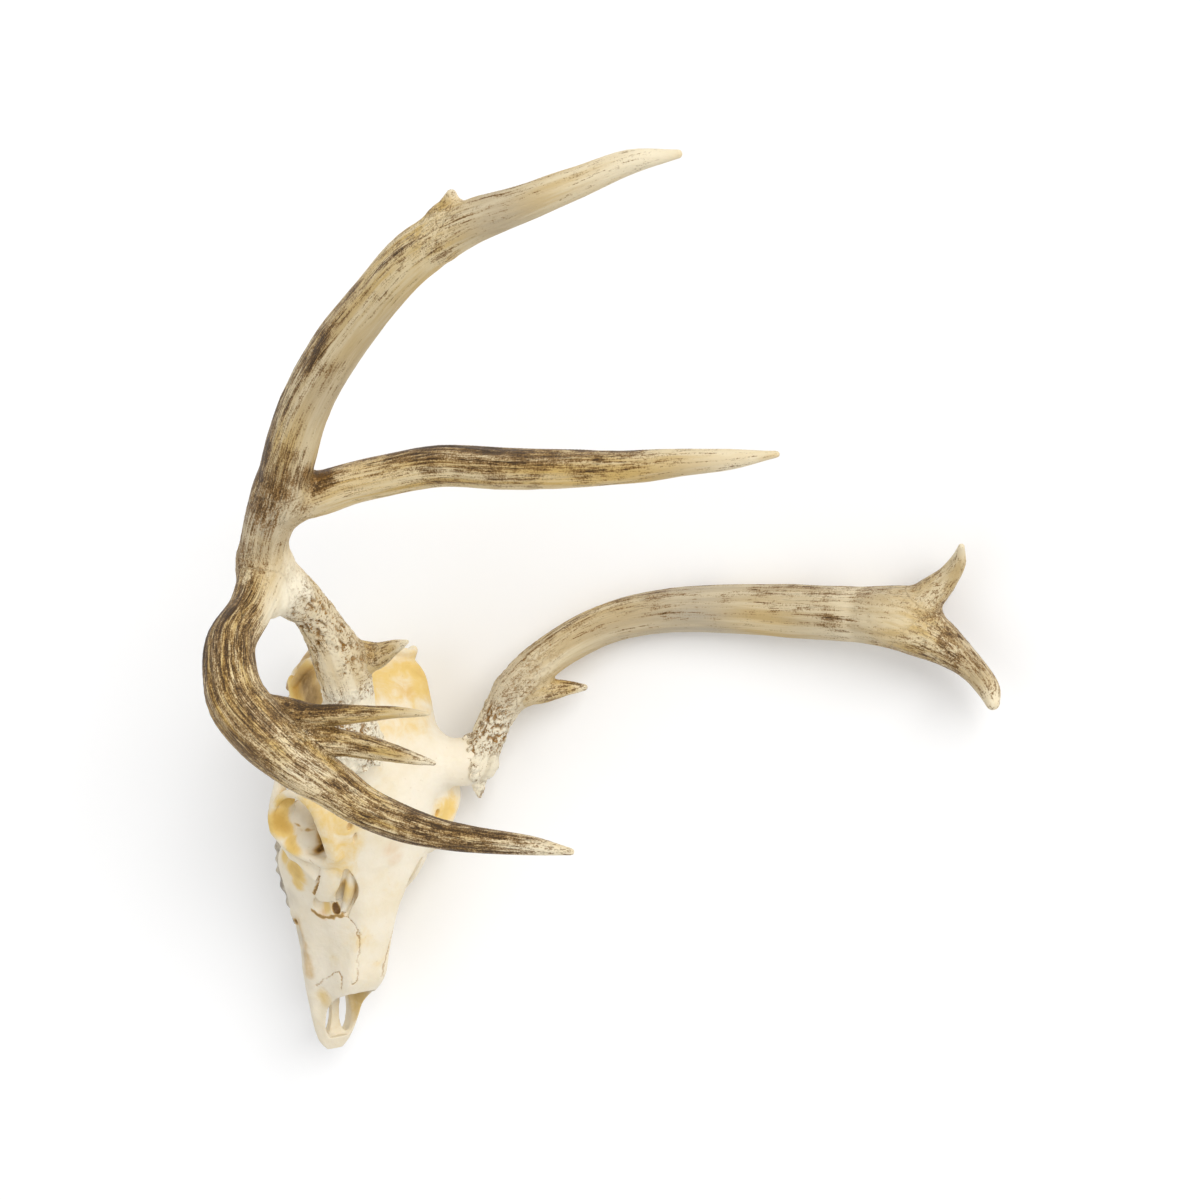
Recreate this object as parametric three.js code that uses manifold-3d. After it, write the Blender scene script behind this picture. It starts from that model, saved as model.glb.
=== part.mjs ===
// A mule deer buck's skull: the cranium without its lower jaw, with both antlers.
// Millimetres. It is drawn upright: +X runs along the snout, +Y is the animal's left and +Z is up, with
// X = 0 at the back of the head and Z = 0 at the chewing surface of the cheek teeth. At the end it is laid
// on its left side, as it rests.
import * as THREE from "three";
import { mergeVertices } from "three/addons/utils/BufferGeometryUtils.js";
import Module from "manifold-3d";

const wasm = await Module();
wasm.setup();

// ---------------------------------------------------------------------------------------- dimensions

const GAP = 0.3; // the suture or joint line between two neighbouring nodes
const RIGHT = -1;
const LEFT = 1;
const SIDES = { right: RIGHT, left: LEFT };
const REACH = 400; // how far a cutting region runs, past the model
const HALF_WIDTH = 90; // the same for half the cranium's width
const TUBE_SIDES = 8; // corners of an antler's or stalk's section
const ROD_SIDES = 6; // corners of a thin bar's section
const BALL_MESH = [8, 6]; // steps round and down a round part

// The way up in the drawing axes while it lies on its left cheek teeth, its left process beside the
// condyle and its left main beam.
const UP = new THREE.Vector3(0.0581, -0.8604, 0.5062);

// Cross-sections of the cranium along the snout, left half: x, then the height of the roof's middle,
// five points (y, z) down the side from the roof's shoulder to the edge of the underside, and the height
// of the underside's middle.
const CRANIUM = [
  [4, 62, [14, 62], [24, 58], [27, 48], [23, 38], [15, 29], 28],
  [20, 84, [18, 82], [36.5, 75], [37, 51], [33, 36], [15, 28], 27],
  [34, 94, [20, 91], [37, 80.5], [39, 56], [33, 40], [13, 29], 27.5],
  [50, 100, [22, 97], [37, 85.5], [37, 61], [29, 45], [12, 32], 29],
  [64, 103, [25, 101], [37, 92], [31.5, 69], [24, 51], [11, 35], 31],
  [92, 101.5, [23, 99.5], [30, 89], [21, 70], [16, 51], [11, 34], 29],
  [108, 97, [21, 95], [28, 85], [20, 67], [16, 48], [13, 30], 25],
  [119, 92.5, [19, 90.5], [29, 81], [25, 64], [20, 46], [18, 27], 20],
  [126, 89, [18, 87], [31, 78], [36, 62], [36, 44], [28, 20], 16],
  [136, 84, [16.5, 83], [29.5, 75.5], [37, 57], [38, 38], [30, 16], 14],
  [150, 78.5, [14, 77.5], [23.5, 70], [31, 50], [34, 32], [29, 14], 14],
  [165, 73, [12, 72], [17.5, 63], [26, 44], [29, 27], [26, 13], 14],
  [180, 67, [11.5, 66], [16, 57], [21.5, 39], [27.5, 23], [25.5, 12], 14],
  [208, 56, [12, 55], [15, 47], [18, 32], [23, 17], [19.5, 10], 12],
  [220, 46, [10.5, 44], [13.5, 37], [16, 25], [19.5, 15], [18, 9], 10],
  [232, 34, [9, 32], [12, 27], [14.5, 19], [17.5, 13], [15, 8], 9],
  [244, 23, [7.5, 22], [11, 19], [13.5, 15], [15, 11], [12.5, 7], 8],
  [254, 16, [6, 15.5], [9.5, 14], [12, 12], [12.5, 10], [9.5, 7], 7],
  [260, 12, [4, 11.5], [6.5, 11], [7.5, 10.5], [7.5, 9.5], [6, 8], 8],
];

// The frontal bones' shelf over the eyes, in the same form.
const BROW_SHELF = [
  [80, 100, [20, 98], [33, 90], [37, 84], [33, 79], [20, 80], 80],
  [87, 100, [22, 98], [43, 90], [49, 85], [44, 81], [22, 84], 84],
  [100, 98, [20, 96], [44, 91], [51, 86], [45, 82], [20, 84], 84],
  [124, 88, [18, 86], [33, 83], [39, 80], [34, 75], [18, 74], 74],
  [132, 84, [16, 82], [27, 78], [32, 74], [28, 69], [16, 68], 68],
];

// The air space inside the face, in the same form. It opens forward between the nasal bones and the floor.
const NASAL_CAVITY = [
  [138, 66, [8, 65], [13, 60], [14, 50], [11, 38], [6, 30], 30],
  [152, 68, [8, 67], [14, 60], [16, 48], [13, 34], [8, 26], 25],
  [170, 62, [7, 61], [11, 54], [13, 42], [12, 30], [8, 22], 21],
  [209, 50, [7.5, 49], [9.5, 43], [11, 33], [11, 23], [8, 17], 16.5],
  [216, 62, [8.5, 58], [9.5, 50], [11, 30], [11, 20], [8, 15.5], 15],
  [232, 62, [8.5, 58], [9, 45], [10, 22], [9.5, 15.5], [7, 13.5], 13],
  [245, 50, [7, 45], [8, 35], [8.5, 18], [8, 13.5], [6, 12.5], 12.5],
  [251, 40, [4, 35], [5, 25], [5.5, 16], [5, 14], [3.5, 13], 13],
];

// Bars of bone on one side, drawn for the animal's left: x, y, z and half thickness.
const ORBIT_RING = [
  [124, 36, 82, 4],
  [111, 42, 86, 4],
  [97, 48, 86, 4],
  [87, 52, 77, 4],
  [86, 55, 62, 3.5],
  [96, 57, 49, 3],
  [110, 54.5, 45, 3.5],
  [122, 46, 49, 5],
  [129, 39, 60, 5],
  [129, 37, 73, 4],
];
// The floor of the eye socket's outer rim, inside the ring.
const ORBIT_SHELF = [
  [88, 51, 47, 3],
  [98, 50, 41, 5],
  [110, 46, 38, 6.5],
  [124, 38, 42, 8],
];
const CHEEK_ARCH = [
  [110, 51, 41, 5],
  [94, 53, 45, 4.5],
  [78, 52, 49, 4],
  [60, 50, 49, 4],
  [46, 45, 46, 4.5],
  [34, 35, 43, 6],
];
// The processes beside the condyles. The right one has worn short.
const PAROCCIPITAL = {
  right: [
    [20, -28, 37, 6],
    [24, -26.5, 25, 4.5],
    [28, -25, 17, 2.5],
  ],
  left: [
    [20, 28, 37, 6],
    [18, 29.5, 22, 5],
    [16, 30, 8, 3],
  ],
};
const EAR_TUBE = [
  [40, 22, 30, 4.5],
  [36, 32, 33, 4.5],
];
const NUCHAL_CREST = [
  [12, -35, 50, 3],
  [8, -35, 62, 3.5],
  [8, -29, 69, 3.5],
  [5, -15, 68, 3.5],
  [2, 0, 67, 3.5],
  [4, 15, 70, 3.5],
  [8, 30, 71, 3.5],
  [8, 36, 63, 3.5],
  [12, 35, 50, 3],
];

// Round parts, drawn for the left: middle and half sizes along x, y and z.
const CONDYLE = { at: [11, 11, 31], half: [8, 7.5, 9] };
const BULLA = { at: [38, 21, 24], half: [11, 8, 10] };
const TUBER = { at: [113, 26, 30], half: [19, 9, 20] };

// The plates under the back of the palate, as a side outline (x, z) between two widths.
const PTERYGOID = {
  outline: [[106, 16], [106, 36], [60, 38], [58, 30], [68, 20], [84, 14]],
  from: 10,
  to: 13.5,
};

// Openings, drawn for the left.
const FORAMEN_MAGNUM = { at: [0, 0, 42], half: [13, 9, 8] };
const TEAR_PIT = { at: [139, 39, 65], half: [9, 5, 7] };
const FACE_GAP = { at: [151, 20, 70], half: [14, 7, 8] };
const PALATE_SLIT = { at: [239, 5.5, 11], half: [13, 3.2, 8] };

// Cheek teeth of one side from the last molar forward: x of the middle, length, outer and inner width.
const TEETH = [
  [110, 14, 34, 19],
  [125, 15, 34, 18],
  [140, 14, 33, 17.5],
  [153, 11, 31.5, 17],
  [164, 10.5, 29.5, 15.5],
  [175, 10.5, 25.5, 14],
];
const TOOTH_TOP = 18;
const TOOTH_GAP = 1;

// Antler stalks on the frontal bones.
const PEDICLES = {
  right: [
    [74, -22, 86, 17],
    [63, -31, 98, 14.5],
    [55, -37, 108, 14.5],
  ],
  left: [
    [74, 22, 86, 17],
    [74, 36, 96, 14.2],
    [74, 47, 104, 13.8],
  ],
};

// The burr is a knobbly collar where the antler stands on its stalk. Its profile gives how far along it a
// station is and how much thinner than its radius.
const BURR_KNOBS = 9;
const BURR_PROFILE = [
  [0, 4],
  [0.25, 0],
  [0.7, 0],
  [1, 3],
];
const BURR = {
  right: { from: [56, -36, 107], to: [48, -41, 115], radius: 19.5, knob: 1.5 },
  left: { from: [74, 47.5, 104.5], to: [72.5, 53.5, 109.5], radius: 16.5, knob: 1.2 },
};
const BURR_SPUR = [
  [82, 51, 108, 5],
  [88, 51.5, 108, 4],
  [95, 52, 108, 1.5],
];

// Antlers: each branch runs from its parent's middle line to its tip as x, y, z and half thickness.
const RIGHT_ANTLER = {
  main_beam: [
    [50, -40, 112, 16.6],
    [35, -44, 119, 15.5],
    [19, -49, 127, 15],
    [0, -60, 138, 15.5],
    [-22, -77, 148, 13],
    [-38, -93, 156, 13],
    [-49, -109, 163, 14],
    [-61, -124, 170, 15],
    [-74, -127, 177, 13.3],
    [-89, -127, 186, 14.1],
    [-103, -124, 195, 15.6],
    [-109, -125, 200, 12],
  ],
  brow_tine: [
    [0, -58, 138, 10],
    [-1, -47, 142, 8.5],
    [-2, -42, 150, 6.5],
    [-7, -39, 162, 4],
    [-11, -37, 174, 1.4],
  ],
  front_beam: [
    [-63, -122, 169, 13.5],
    [-39, -139, 180, 13],
    [-24, -157, 190, 13.9],
    [-10, -164, 199, 14.3],
    [7, -166, 210, 16],
    [23, -158, 221, 16.4],
    [39, -145, 232, 14.8],
    [58, -125, 249, 11.7],
    [74, -104, 275, 9.3],
    [78, -94, 290, 8],
    [80.5, -83, 306, 6.8],
    [82.5, -66, 333, 5.1],
    [85, -54, 352, 2],
  ],
  inner_front_tine: [
    [14, -155, 214, 11],
    [15, -145, 220, 9.5],
    [16, -134, 234, 6.4],
    [15, -127, 247, 5.9],
    [13, -118, 271, 4.3],
    [12, -110, 294, 2.6],
    [12, -107, 304, 1.2],
  ],
  outer_front_tine: [
    [28, -152, 224, 11],
    [29, -137, 234, 8.8],
    [30, -126, 250, 7.3],
    [32, -119, 265, 6.4],
    [34, -114, 281, 4.9],
    [36, -109, 293, 3.2],
    [38, -104, 303, 1.4],
  ],
  upper_rear_tine: [
    [-99, -125, 193, 13.5],
    [-118, -128, 208, 14.2],
    [-149, -134, 240, 13.6],
    [-178, -134, 275, 12.9],
    [-202, -131, 310, 12.4],
    [-221, -129.5, 345, 13],
    [-233.5, -122.5, 378, 11],
    [-242, -108, 408, 8.6],
    [-251, -92, 434, 7.2],
    [-258.5, -78, 454, 5.8],
    [-261, -63, 472, 2.2],
  ],
  lower_rear_tine: [
    [-97, -121, 192, 13.5],
    [-100, -108, 206, 12],
    [-105, -98, 222, 11.1],
    [-109, -89, 242, 11],
    [-114, -75, 277, 11],
    [-112, -60, 318, 10.7],
    [-112, -33, 378, 8.9],
    [-114, -17, 406, 6.9],
    [-115, -2, 428, 5.2],
    [-117, 12, 447, 1.8],
  ],
};
// The flat web of antler where the front branch leaves the main beam.
const FORK_WEB = { at: [-40, -114, 166], half: [13, 17, 11] };
const TINE_KNOB = [
  [-230, -126, 362, 11],
  [-243, -126, 372, 4.5],
  [-250, -129, 378, 1.5],
];
const LEFT_ANTLER = {
  main_beam: [
    [71.5, 52, 109, 10.8],
    [63.5, 54, 113, 10.2],
    [50, 57, 119, 10],
    [37.5, 61, 126, 10.5],
    [23, 69, 135, 11.7],
    [7, 84, 148, 11.2],
    [-8, 106, 168, 12],
    [-16, 127, 198, 12.8],
    [-18, 148, 236, 14],
    [-17, 167, 278, 15.4],
    [-16, 181, 314, 16],
    [-15, 191, 338, 17],
    [-14, 196, 347, 12],
  ],
  brow_tine: [
    [31, 64, 130, 10],
    [30, 69, 134, 9.6],
    [31, 80, 141, 7.3],
    [30, 90, 148, 4.8],
    [30, 100, 154, 2.1],
  ],
  rear_tine: [
    [-18, 190, 336, 12],
    [-22, 196, 346, 11],
    [-29, 201, 353, 9],
    [-37, 205, 361, 6.6],
    [-46, 205, 370, 4.8],
    [-56, 199, 380, 1.9],
  ],
  front_tine: [
    [-14, 188, 334, 14],
    [-8, 196, 346, 15],
    [-2, 203, 354, 12.6],
    [8, 211, 364, 9.2],
    [16, 215, 372, 7.4],
    [25.5, 215.5, 382, 5.6],
    [33, 211, 390, 2.6],
  ],
};

// Regions that part the bones along their sutures. A side outline is (x, z), a top outline is (x, y).
const NASAL_TOP = [[137, 0], [137, 9], [150, 12.5], [170, 11.5], [218, 11], [218, 0]];
const NASAL_SIDE = [
  [137, 100], [137, 77], [150, 72], [165, 66.5], [180, 60], [195, 54], [218, 43], [218, 100],
];
const FRONTAL_SIDE = [
  [49, 140], [49, 84], [62, 76], [80, 66], [100, 64], [122, 68], [130, 74], [137, 74], [137, 140],
];
const TEAR_SIDE = [[117, 66], [130, 74], [137, 74], [150, 76], [152, 60], [142, 52], [117, 52]];
const CHEEK_SIDE = [[66, 34], [66, 75], [100, 75], [117, 66], [117, 52], [140, 52], [134, 34]];
const INCISIVE_SIDE = [[196, 70], [196, 54], [210, 42], [216, 28], [222, 14], [222, -5], [270, -5], [270, 70]];
const PARIETAL_SIDE = [[13, 62], [13, 140], [49, 140], [49, 84], [60, 76], [60, 62]];
const MAXILLA_SIDE = [[100, -5], [100, 64], [122, 68], [152, 90], [230, 90], [230, -5]];
const FACE_BACK = 100; // the maxilla, palate and teeth begin here
const BROW_BACK = 49; // the frontal bones begin here
const BROW_LOW = 64; // and reach down to here between the eye sockets
const VAULT_BACK = 12.7; // the occipital bone ends here
const VAULT_HALF_WIDTH = 60; // the parietal bone keeps within this
const TEAR_INSIDE = 21; // the lacrimal bone's inner face
const CHEEK_INSIDE = 40; // the cheek bone's inner face

// ---------------------------------------------------------------------------------------- geometry

// A closed geometry over rings of points that go anticlockwise round the way of travel.
function skin(rings) {
  const count = rings[0].length;
  const points = rings.flat();
  const faces = [];
  for (let i = 0; i + 1 < rings.length; i++) {
    for (let j = 0; j < count; j++) {
      const a = i * count + j;
      const b = i * count + ((j + 1) % count);
      faces.push(a, b, b + count, a, b + count, a + count);
    }
  }
  for (const end of [0, rings.length - 1]) {
    const middle = new THREE.Vector3();
    rings[end].forEach((p) => middle.addScaledVector(p, 1 / count));
    const m = points.push(middle) - 1;
    for (let j = 0; j < count; j++) {
      const a = end * count + j;
      const b = end * count + ((j + 1) % count);
      faces.push(...(end === 0 ? [m, b, a] : [m, a, b]));
    }
  }
  return new THREE.BufferGeometry().setFromPoints(points).setIndex(faces);
}

// A manifold solid of a closed geometry.
function solid(geometry) {
  const bare = geometry.clone();
  bare.deleteAttribute("normal");
  bare.deleteAttribute("uv");
  const merged = mergeVertices(bare, 1e-3);
  return new wasm.Manifold(
    new wasm.Mesh({
      numProp: 3,
      vertProperties: new Float32Array(merged.getAttribute("position").array),
      triVerts: new Uint32Array(merged.index.array),
    }),
  );
}

// A body through cross-sections of the cranium's form, straight between their points.
function loft(sections) {
  const rings = sections.map(([x, top, ...rest]) => {
    const low = rest.pop();
    const half = rest.map(([y, z]) => new THREE.Vector3(x, y, z));
    const right = half.map((p) => p.clone().setY(-p.y));
    const loop = [new THREE.Vector3(x, 0, top), ...right, new THREE.Vector3(x, 0, low), ...half.reverse()];
    return loop;
  });
  return solid(skin(rings));
}

// A round bar through stations (x, y, z, half thickness), by parallel transport of its section.
function bar(stations, { sides = TUBE_SIDES, extra = 0, knob = 0, knobs = 0 } = {}) {
  const curve = new THREE.CatmullRomCurve3(
    stations.map(([x, y, z]) => new THREE.Vector3(x, y, z)),
    false,
    "centripetal",
  );
  const count = stations.length - 1;
  const sector = (2 * Math.PI) / sides;
  const corner = sector / 2 / Math.sin(sector / 2); // gives the polygon its circle's mean width
  const rings = [];
  const across = new THREE.Vector3();
  for (let i = 0; i <= count; i++) {
    const t = i / count;
    const along = curve.getTangent(t);
    if (i === 0) across.set(0, 0, 1).cross(along);
    if (across.lengthSq() < 1e-3) across.set(1, 0, 0);
    across.addScaledVector(along, -across.dot(along)).normalize();
    const up = along.clone().cross(across);
    const middle = curve.getPoint(t);
    const half = stations[i][3] + extra;
    const ring = [];
    for (let j = 0; j < sides; j++) {
      const angle = sector * j;
      const reach = corner * half + knob * Math.cos(knobs * angle);
      ring.push(
        middle
          .clone()
          .addScaledVector(across, reach * Math.cos(angle))
          .addScaledVector(up, reach * Math.sin(angle)),
      );
    }
    rings.push(ring);
  }
  return solid(skin(rings));
}

// A closed ring of bone: two bars whose ends lie inside each other.
function ringBar(stations) {
  const middle = Math.floor(stations.length / 2);
  const first = stations.slice(0, middle + 1);
  const second = [...stations.slice(middle), stations[0]];
  return bar(first, { sides: ROD_SIDES }).add(bar(second, { sides: ROD_SIDES }));
}

function ellipsoid({ at, half }, side = LEFT) {
  const ball = new THREE.SphereGeometry(1, ...BALL_MESH);
  ball.scale(...half);
  ball.translate(at[0], side * at[1], at[2]);
  return solid(ball);
}

function box(low, high) {
  const size = high.map((v, i) => v - low[i]);
  const block = new THREE.BoxGeometry(...size);
  block.translate(...low.map((v, i) => v + size[i] / 2));
  return solid(block);
}

// The same outline moved outwards by a distance at each corner.
function widened(outline, by) {
  const points = outline.map(([u, v]) => new THREE.Vector2(u, v));
  if (THREE.ShapeUtils.area(points) < 0) points.reverse();
  return points.map((p, i) => {
    const before = points[(i + points.length - 1) % points.length];
    const after = points[(i + 1) % points.length];
    const a = p.clone().sub(before).normalize();
    const b = after.clone().sub(p).normalize();
    const out = new THREE.Vector2(a.y + b.y, -a.x - b.x);
    return p.clone().addScaledVector(out, (2 * by) / out.lengthSq());
  });
}

// A prism over a side outline (x, z), between two distances from the midplane.
function sidePrism(outline, from, to, side, grow = 0) {
  const shape = new THREE.Shape(widened(outline, grow));
  const prism = new THREE.ExtrudeGeometry(shape, { depth: to - from + 2 * grow, bevelEnabled: false });
  prism.rotateX(Math.PI / 2);
  prism.translate(0, side === LEFT ? to + grow : -from + grow, 0);
  return solid(prism);
}

// A prism over a top outline (x, y), drawn for the left.
function topPrism(outline, side, grow = 0) {
  const shape = new THREE.Shape(widened(outline.map(([x, y]) => [x, side * y]), grow));
  const prism = new THREE.ExtrudeGeometry(shape, { depth: REACH, bevelEnabled: false });
  return solid(prism);
}

// Stations drawn for the left, on either side.
const mirrored = (stations, side) => stations.map(([x, y, z, half]) => [x, side * y, z, half]);

const joined = (solids) => solids.reduce((a, b) => a.add(b));

// ---------------------------------------------------------------------------------------- the skull

function tooth([x, length, outer, inner], side) {
  const half = (length - TOOTH_GAP) / 2;
  const low = [x - half, Math.min(side * inner, side * outer), 0];
  const high = [x + half, Math.max(side * inner, side * outer), TOOTH_TOP];
  return box(low, high);
}

function cranium() {
  let whole = loft(CRANIUM).add(loft(BROW_SHELF)).add(bar(NUCHAL_CREST, { sides: ROD_SIDES }));
  for (const [name, side] of Object.entries(SIDES)) {
    whole = joined([
      whole,
      ringBar(mirrored(ORBIT_RING, side)),
      bar(mirrored(CHEEK_ARCH, side), { sides: ROD_SIDES }),
      bar(mirrored(ORBIT_SHELF, side), { sides: ROD_SIDES }),
      bar(PAROCCIPITAL[name], { sides: ROD_SIDES }),
      bar(mirrored(EAR_TUBE, side), { sides: ROD_SIDES }),
      bar(PEDICLES[name]),
      ellipsoid(CONDYLE, side),
      ellipsoid(BULLA, side),
      ellipsoid(TUBER, side),
      sidePrism(PTERYGOID.outline, PTERYGOID.from, PTERYGOID.to, side),
      ...TEETH.map((row) => tooth(row, side)),
    ]);
  }
  whole = whole.subtract(loft(NASAL_CAVITY)).subtract(ellipsoid(FORAMEN_MAGNUM));
  for (const side of Object.values(SIDES)) {
    for (const opening of [TEAR_PIT, FACE_GAP, PALATE_SLIT]) {
      whole = whole.subtract(ellipsoid(opening, side));
    }
  }
  return whole.subtract(box([-REACH, -REACH, -REACH], [REACH, REACH, 0]));
}

// The largest body of a solid, without the crumbs that two cuts can leave between them.
function largest(part) {
  return part.decompose().sort((a, b) => b.volume() - a.volume())[0];
}

// ---------------------------------------------------------------------------------------- materials

const bone = new THREE.MeshStandardMaterial({ color: 0xe9e0c8, roughness: 0.62, metalness: 0 });
const yellowBone = new THREE.MeshStandardMaterial({ color: 0xe2c88c, roughness: 0.6, metalness: 0 });
const antler = new THREE.MeshStandardMaterial({ color: 0xb79b72, roughness: 0.66, metalness: 0 });

function mesh(name, part, material) {
  const { numProp, vertProperties, triVerts } = part.getMesh();
  const geometry = new THREE.BufferGeometry();
  geometry.setAttribute("position", new THREE.BufferAttribute(vertProperties, numProp));
  geometry.setIndex(new THREE.BufferAttribute(triVerts, 1));
  geometry.computeVertexNormals();
  const made = new THREE.Mesh(geometry, material);
  made.name = name;
  return made;
}

// ---------------------------------------------------------------------------------------- assembly

// The burr's collar: a short bar that swells into knobs at its middle.
function burr(side, extra = 0) {
  const { from, to, radius, knob } = BURR[side];
  const at = (t) => from.map((v, i) => v + (to[i] - v) * t);
  const stations = BURR_PROFILE.map(([t, less]) => [...at(t), radius - less]);
  const collar = bar(stations, { sides: 2 * BURR_KNOBS, knob, knobs: BURR_KNOBS, extra });
  return side === "left" ? collar.add(bar(BURR_SPUR, { sides: ROD_SIDES, extra })) : collar;
}

// The skull's bones, taken one after another out of the whole cranium.
function skullNodes() {
  let rest = cranium().subtract(burr("right", GAP)).subtract(burr("left", GAP));
  const nodes = {};
  const take = (name, region) => {
    nodes[name] = largest(rest.intersect(region(0)));
    rest = rest.subtract(region(GAP));
  };
  const midSeam = (from, low) => box([from, -GAP / 2, low], [REACH, GAP / 2, REACH]);
  const onSide = (outline, side, from = 0) => (grow) => sidePrism(outline, from, HALF_WIDTH, side, grow);
  take("occipital", (grow) => box([-REACH, -REACH, -REACH], [VAULT_BACK + grow, REACH, REACH]));
  take("parietal", (grow) => sidePrism(PARIETAL_SIDE, -VAULT_HALF_WIDTH, VAULT_HALF_WIDTH, LEFT, grow));
  rest = rest.subtract(midSeam(BROW_BACK, BROW_LOW)).subtract(midSeam(FACE_BACK, -GAP));
  for (const [name, side] of Object.entries(SIDES)) {
    take(`nasal_${name}`, (grow) => topPrism(NASAL_TOP, side, grow).intersect(onSide(NASAL_SIDE, side)(grow)));
    take(`premaxilla_${name}`, onSide(INCISIVE_SIDE, side));
    take(`frontal_${name}`, onSide(FRONTAL_SIDE, side));
    take(`lacrimal_${name}`, onSide(TEAR_SIDE, side, TEAR_INSIDE));
    take(`zygomatic_${name}`, onSide(CHEEK_SIDE, side, CHEEK_INSIDE));
    take(`maxilla_${name}`, onSide(MAXILLA_SIDE, side));
  }
  nodes.cranial_base = largest(rest);
  return nodes;
}

// One branch of an antler, with the web or knob that it alone has, all thicker by a distance.
function branch(side, name, stations, extra = 0) {
  const parts = [bar(stations, { extra })];
  if (side === "right" && name === "main_beam") {
    parts.push(ellipsoid({ at: FORK_WEB.at, half: FORK_WEB.half.map((v) => v + extra) }));
  }
  if (side === "right" && name === "upper_rear_tine") {
    parts.push(bar(TINE_KNOB, { sides: ROD_SIDES, extra }));
  }
  return joined(parts);
}

// The branches of one antler, each cut where it meets those before it.
function antlerNodes(side, branches) {
  const nodes = { burr: burr(side) };
  let taken = burr(side, GAP);
  for (const [name, stations] of Object.entries(branches)) {
    nodes[name] = largest(branch(side, name, stations).subtract(taken));
    taken = taken.add(branch(side, name, stations, GAP));
  }
  return nodes;
}

// The model turned to lie as it rests, with +Z up, the snout towards +X and the origin on the ground under
// the middle of its box.
function laidDown(model) {
  const up = UP.clone().normalize();
  const ahead = new THREE.Vector3(1, 0, 0).projectOnPlane(up).normalize();
  const axes = new THREE.Matrix4().makeBasis(ahead, up.clone().cross(ahead), up);
  model.quaternion.setFromRotationMatrix(axes.transpose());
  const around = new THREE.Box3().setFromObject(model, true);
  const middle = around.getCenter(new THREE.Vector3());
  model.position.set(-middle.x, -middle.y, -around.min.z);
  return new THREE.Group().add(model);
}

const model = new THREE.Group();
for (const [name, part] of Object.entries(skullNodes())) {
  model.add(mesh(name, part, name === "parietal" ? yellowBone : bone));
}
for (const [side, branches] of Object.entries({ right: RIGHT_ANTLER, left: LEFT_ANTLER })) {
  for (const [name, part] of Object.entries(antlerNodes(side, branches))) {
    model.add(mesh(`antler_${side}_${name}`, part, antler));
  }
}

export default laidDown(model);
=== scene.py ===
"""A mule deer buck's skull with its antlers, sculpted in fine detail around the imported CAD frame.

Shapes are drawn in millimetres in the part's drawing axes: +X along the snout, +Y the animal's left and
+Z up, with the chewing surface at Z = 0. They are signed distance fields, joined smoothly, meshed with
OpenVDB, given surface relief at their vertices, and laid down on the left side as the part rests.
"""
import math

import bpy
import numpy as np
import openvdb
from mathutils import Matrix, Vector
from numpy.linalg import norm


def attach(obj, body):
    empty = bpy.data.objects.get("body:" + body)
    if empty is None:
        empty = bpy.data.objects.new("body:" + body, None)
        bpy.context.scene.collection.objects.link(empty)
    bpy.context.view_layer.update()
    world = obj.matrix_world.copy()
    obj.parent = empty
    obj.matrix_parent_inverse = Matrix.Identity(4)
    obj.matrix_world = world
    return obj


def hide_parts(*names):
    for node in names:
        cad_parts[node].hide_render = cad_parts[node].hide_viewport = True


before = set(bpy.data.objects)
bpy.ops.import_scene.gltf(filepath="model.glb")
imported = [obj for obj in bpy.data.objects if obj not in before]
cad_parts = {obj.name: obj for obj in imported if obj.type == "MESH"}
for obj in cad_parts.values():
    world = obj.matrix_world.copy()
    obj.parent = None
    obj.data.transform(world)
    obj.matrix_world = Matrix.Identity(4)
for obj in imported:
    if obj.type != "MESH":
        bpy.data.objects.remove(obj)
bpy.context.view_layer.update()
scene = bpy.context.scene

# ---- placement

MM = 0.001
UP = Vector((0.0581, -0.8604, 0.5062)).normalized()  # the way up in the drawing axes, as it rests
AHEAD = (Vector((1, 0, 0)) - UP * UP.x).normalized()
TURN = Matrix((AHEAD, UP.cross(AHEAD), UP))  # drawing axes to row axes
ORIGIN = Vector((10.734, -214.175, 23.241))  # the drawing's origin in the row frame, mm

RIGHT = -1
LEFT = 1

# ---- the form

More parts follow.
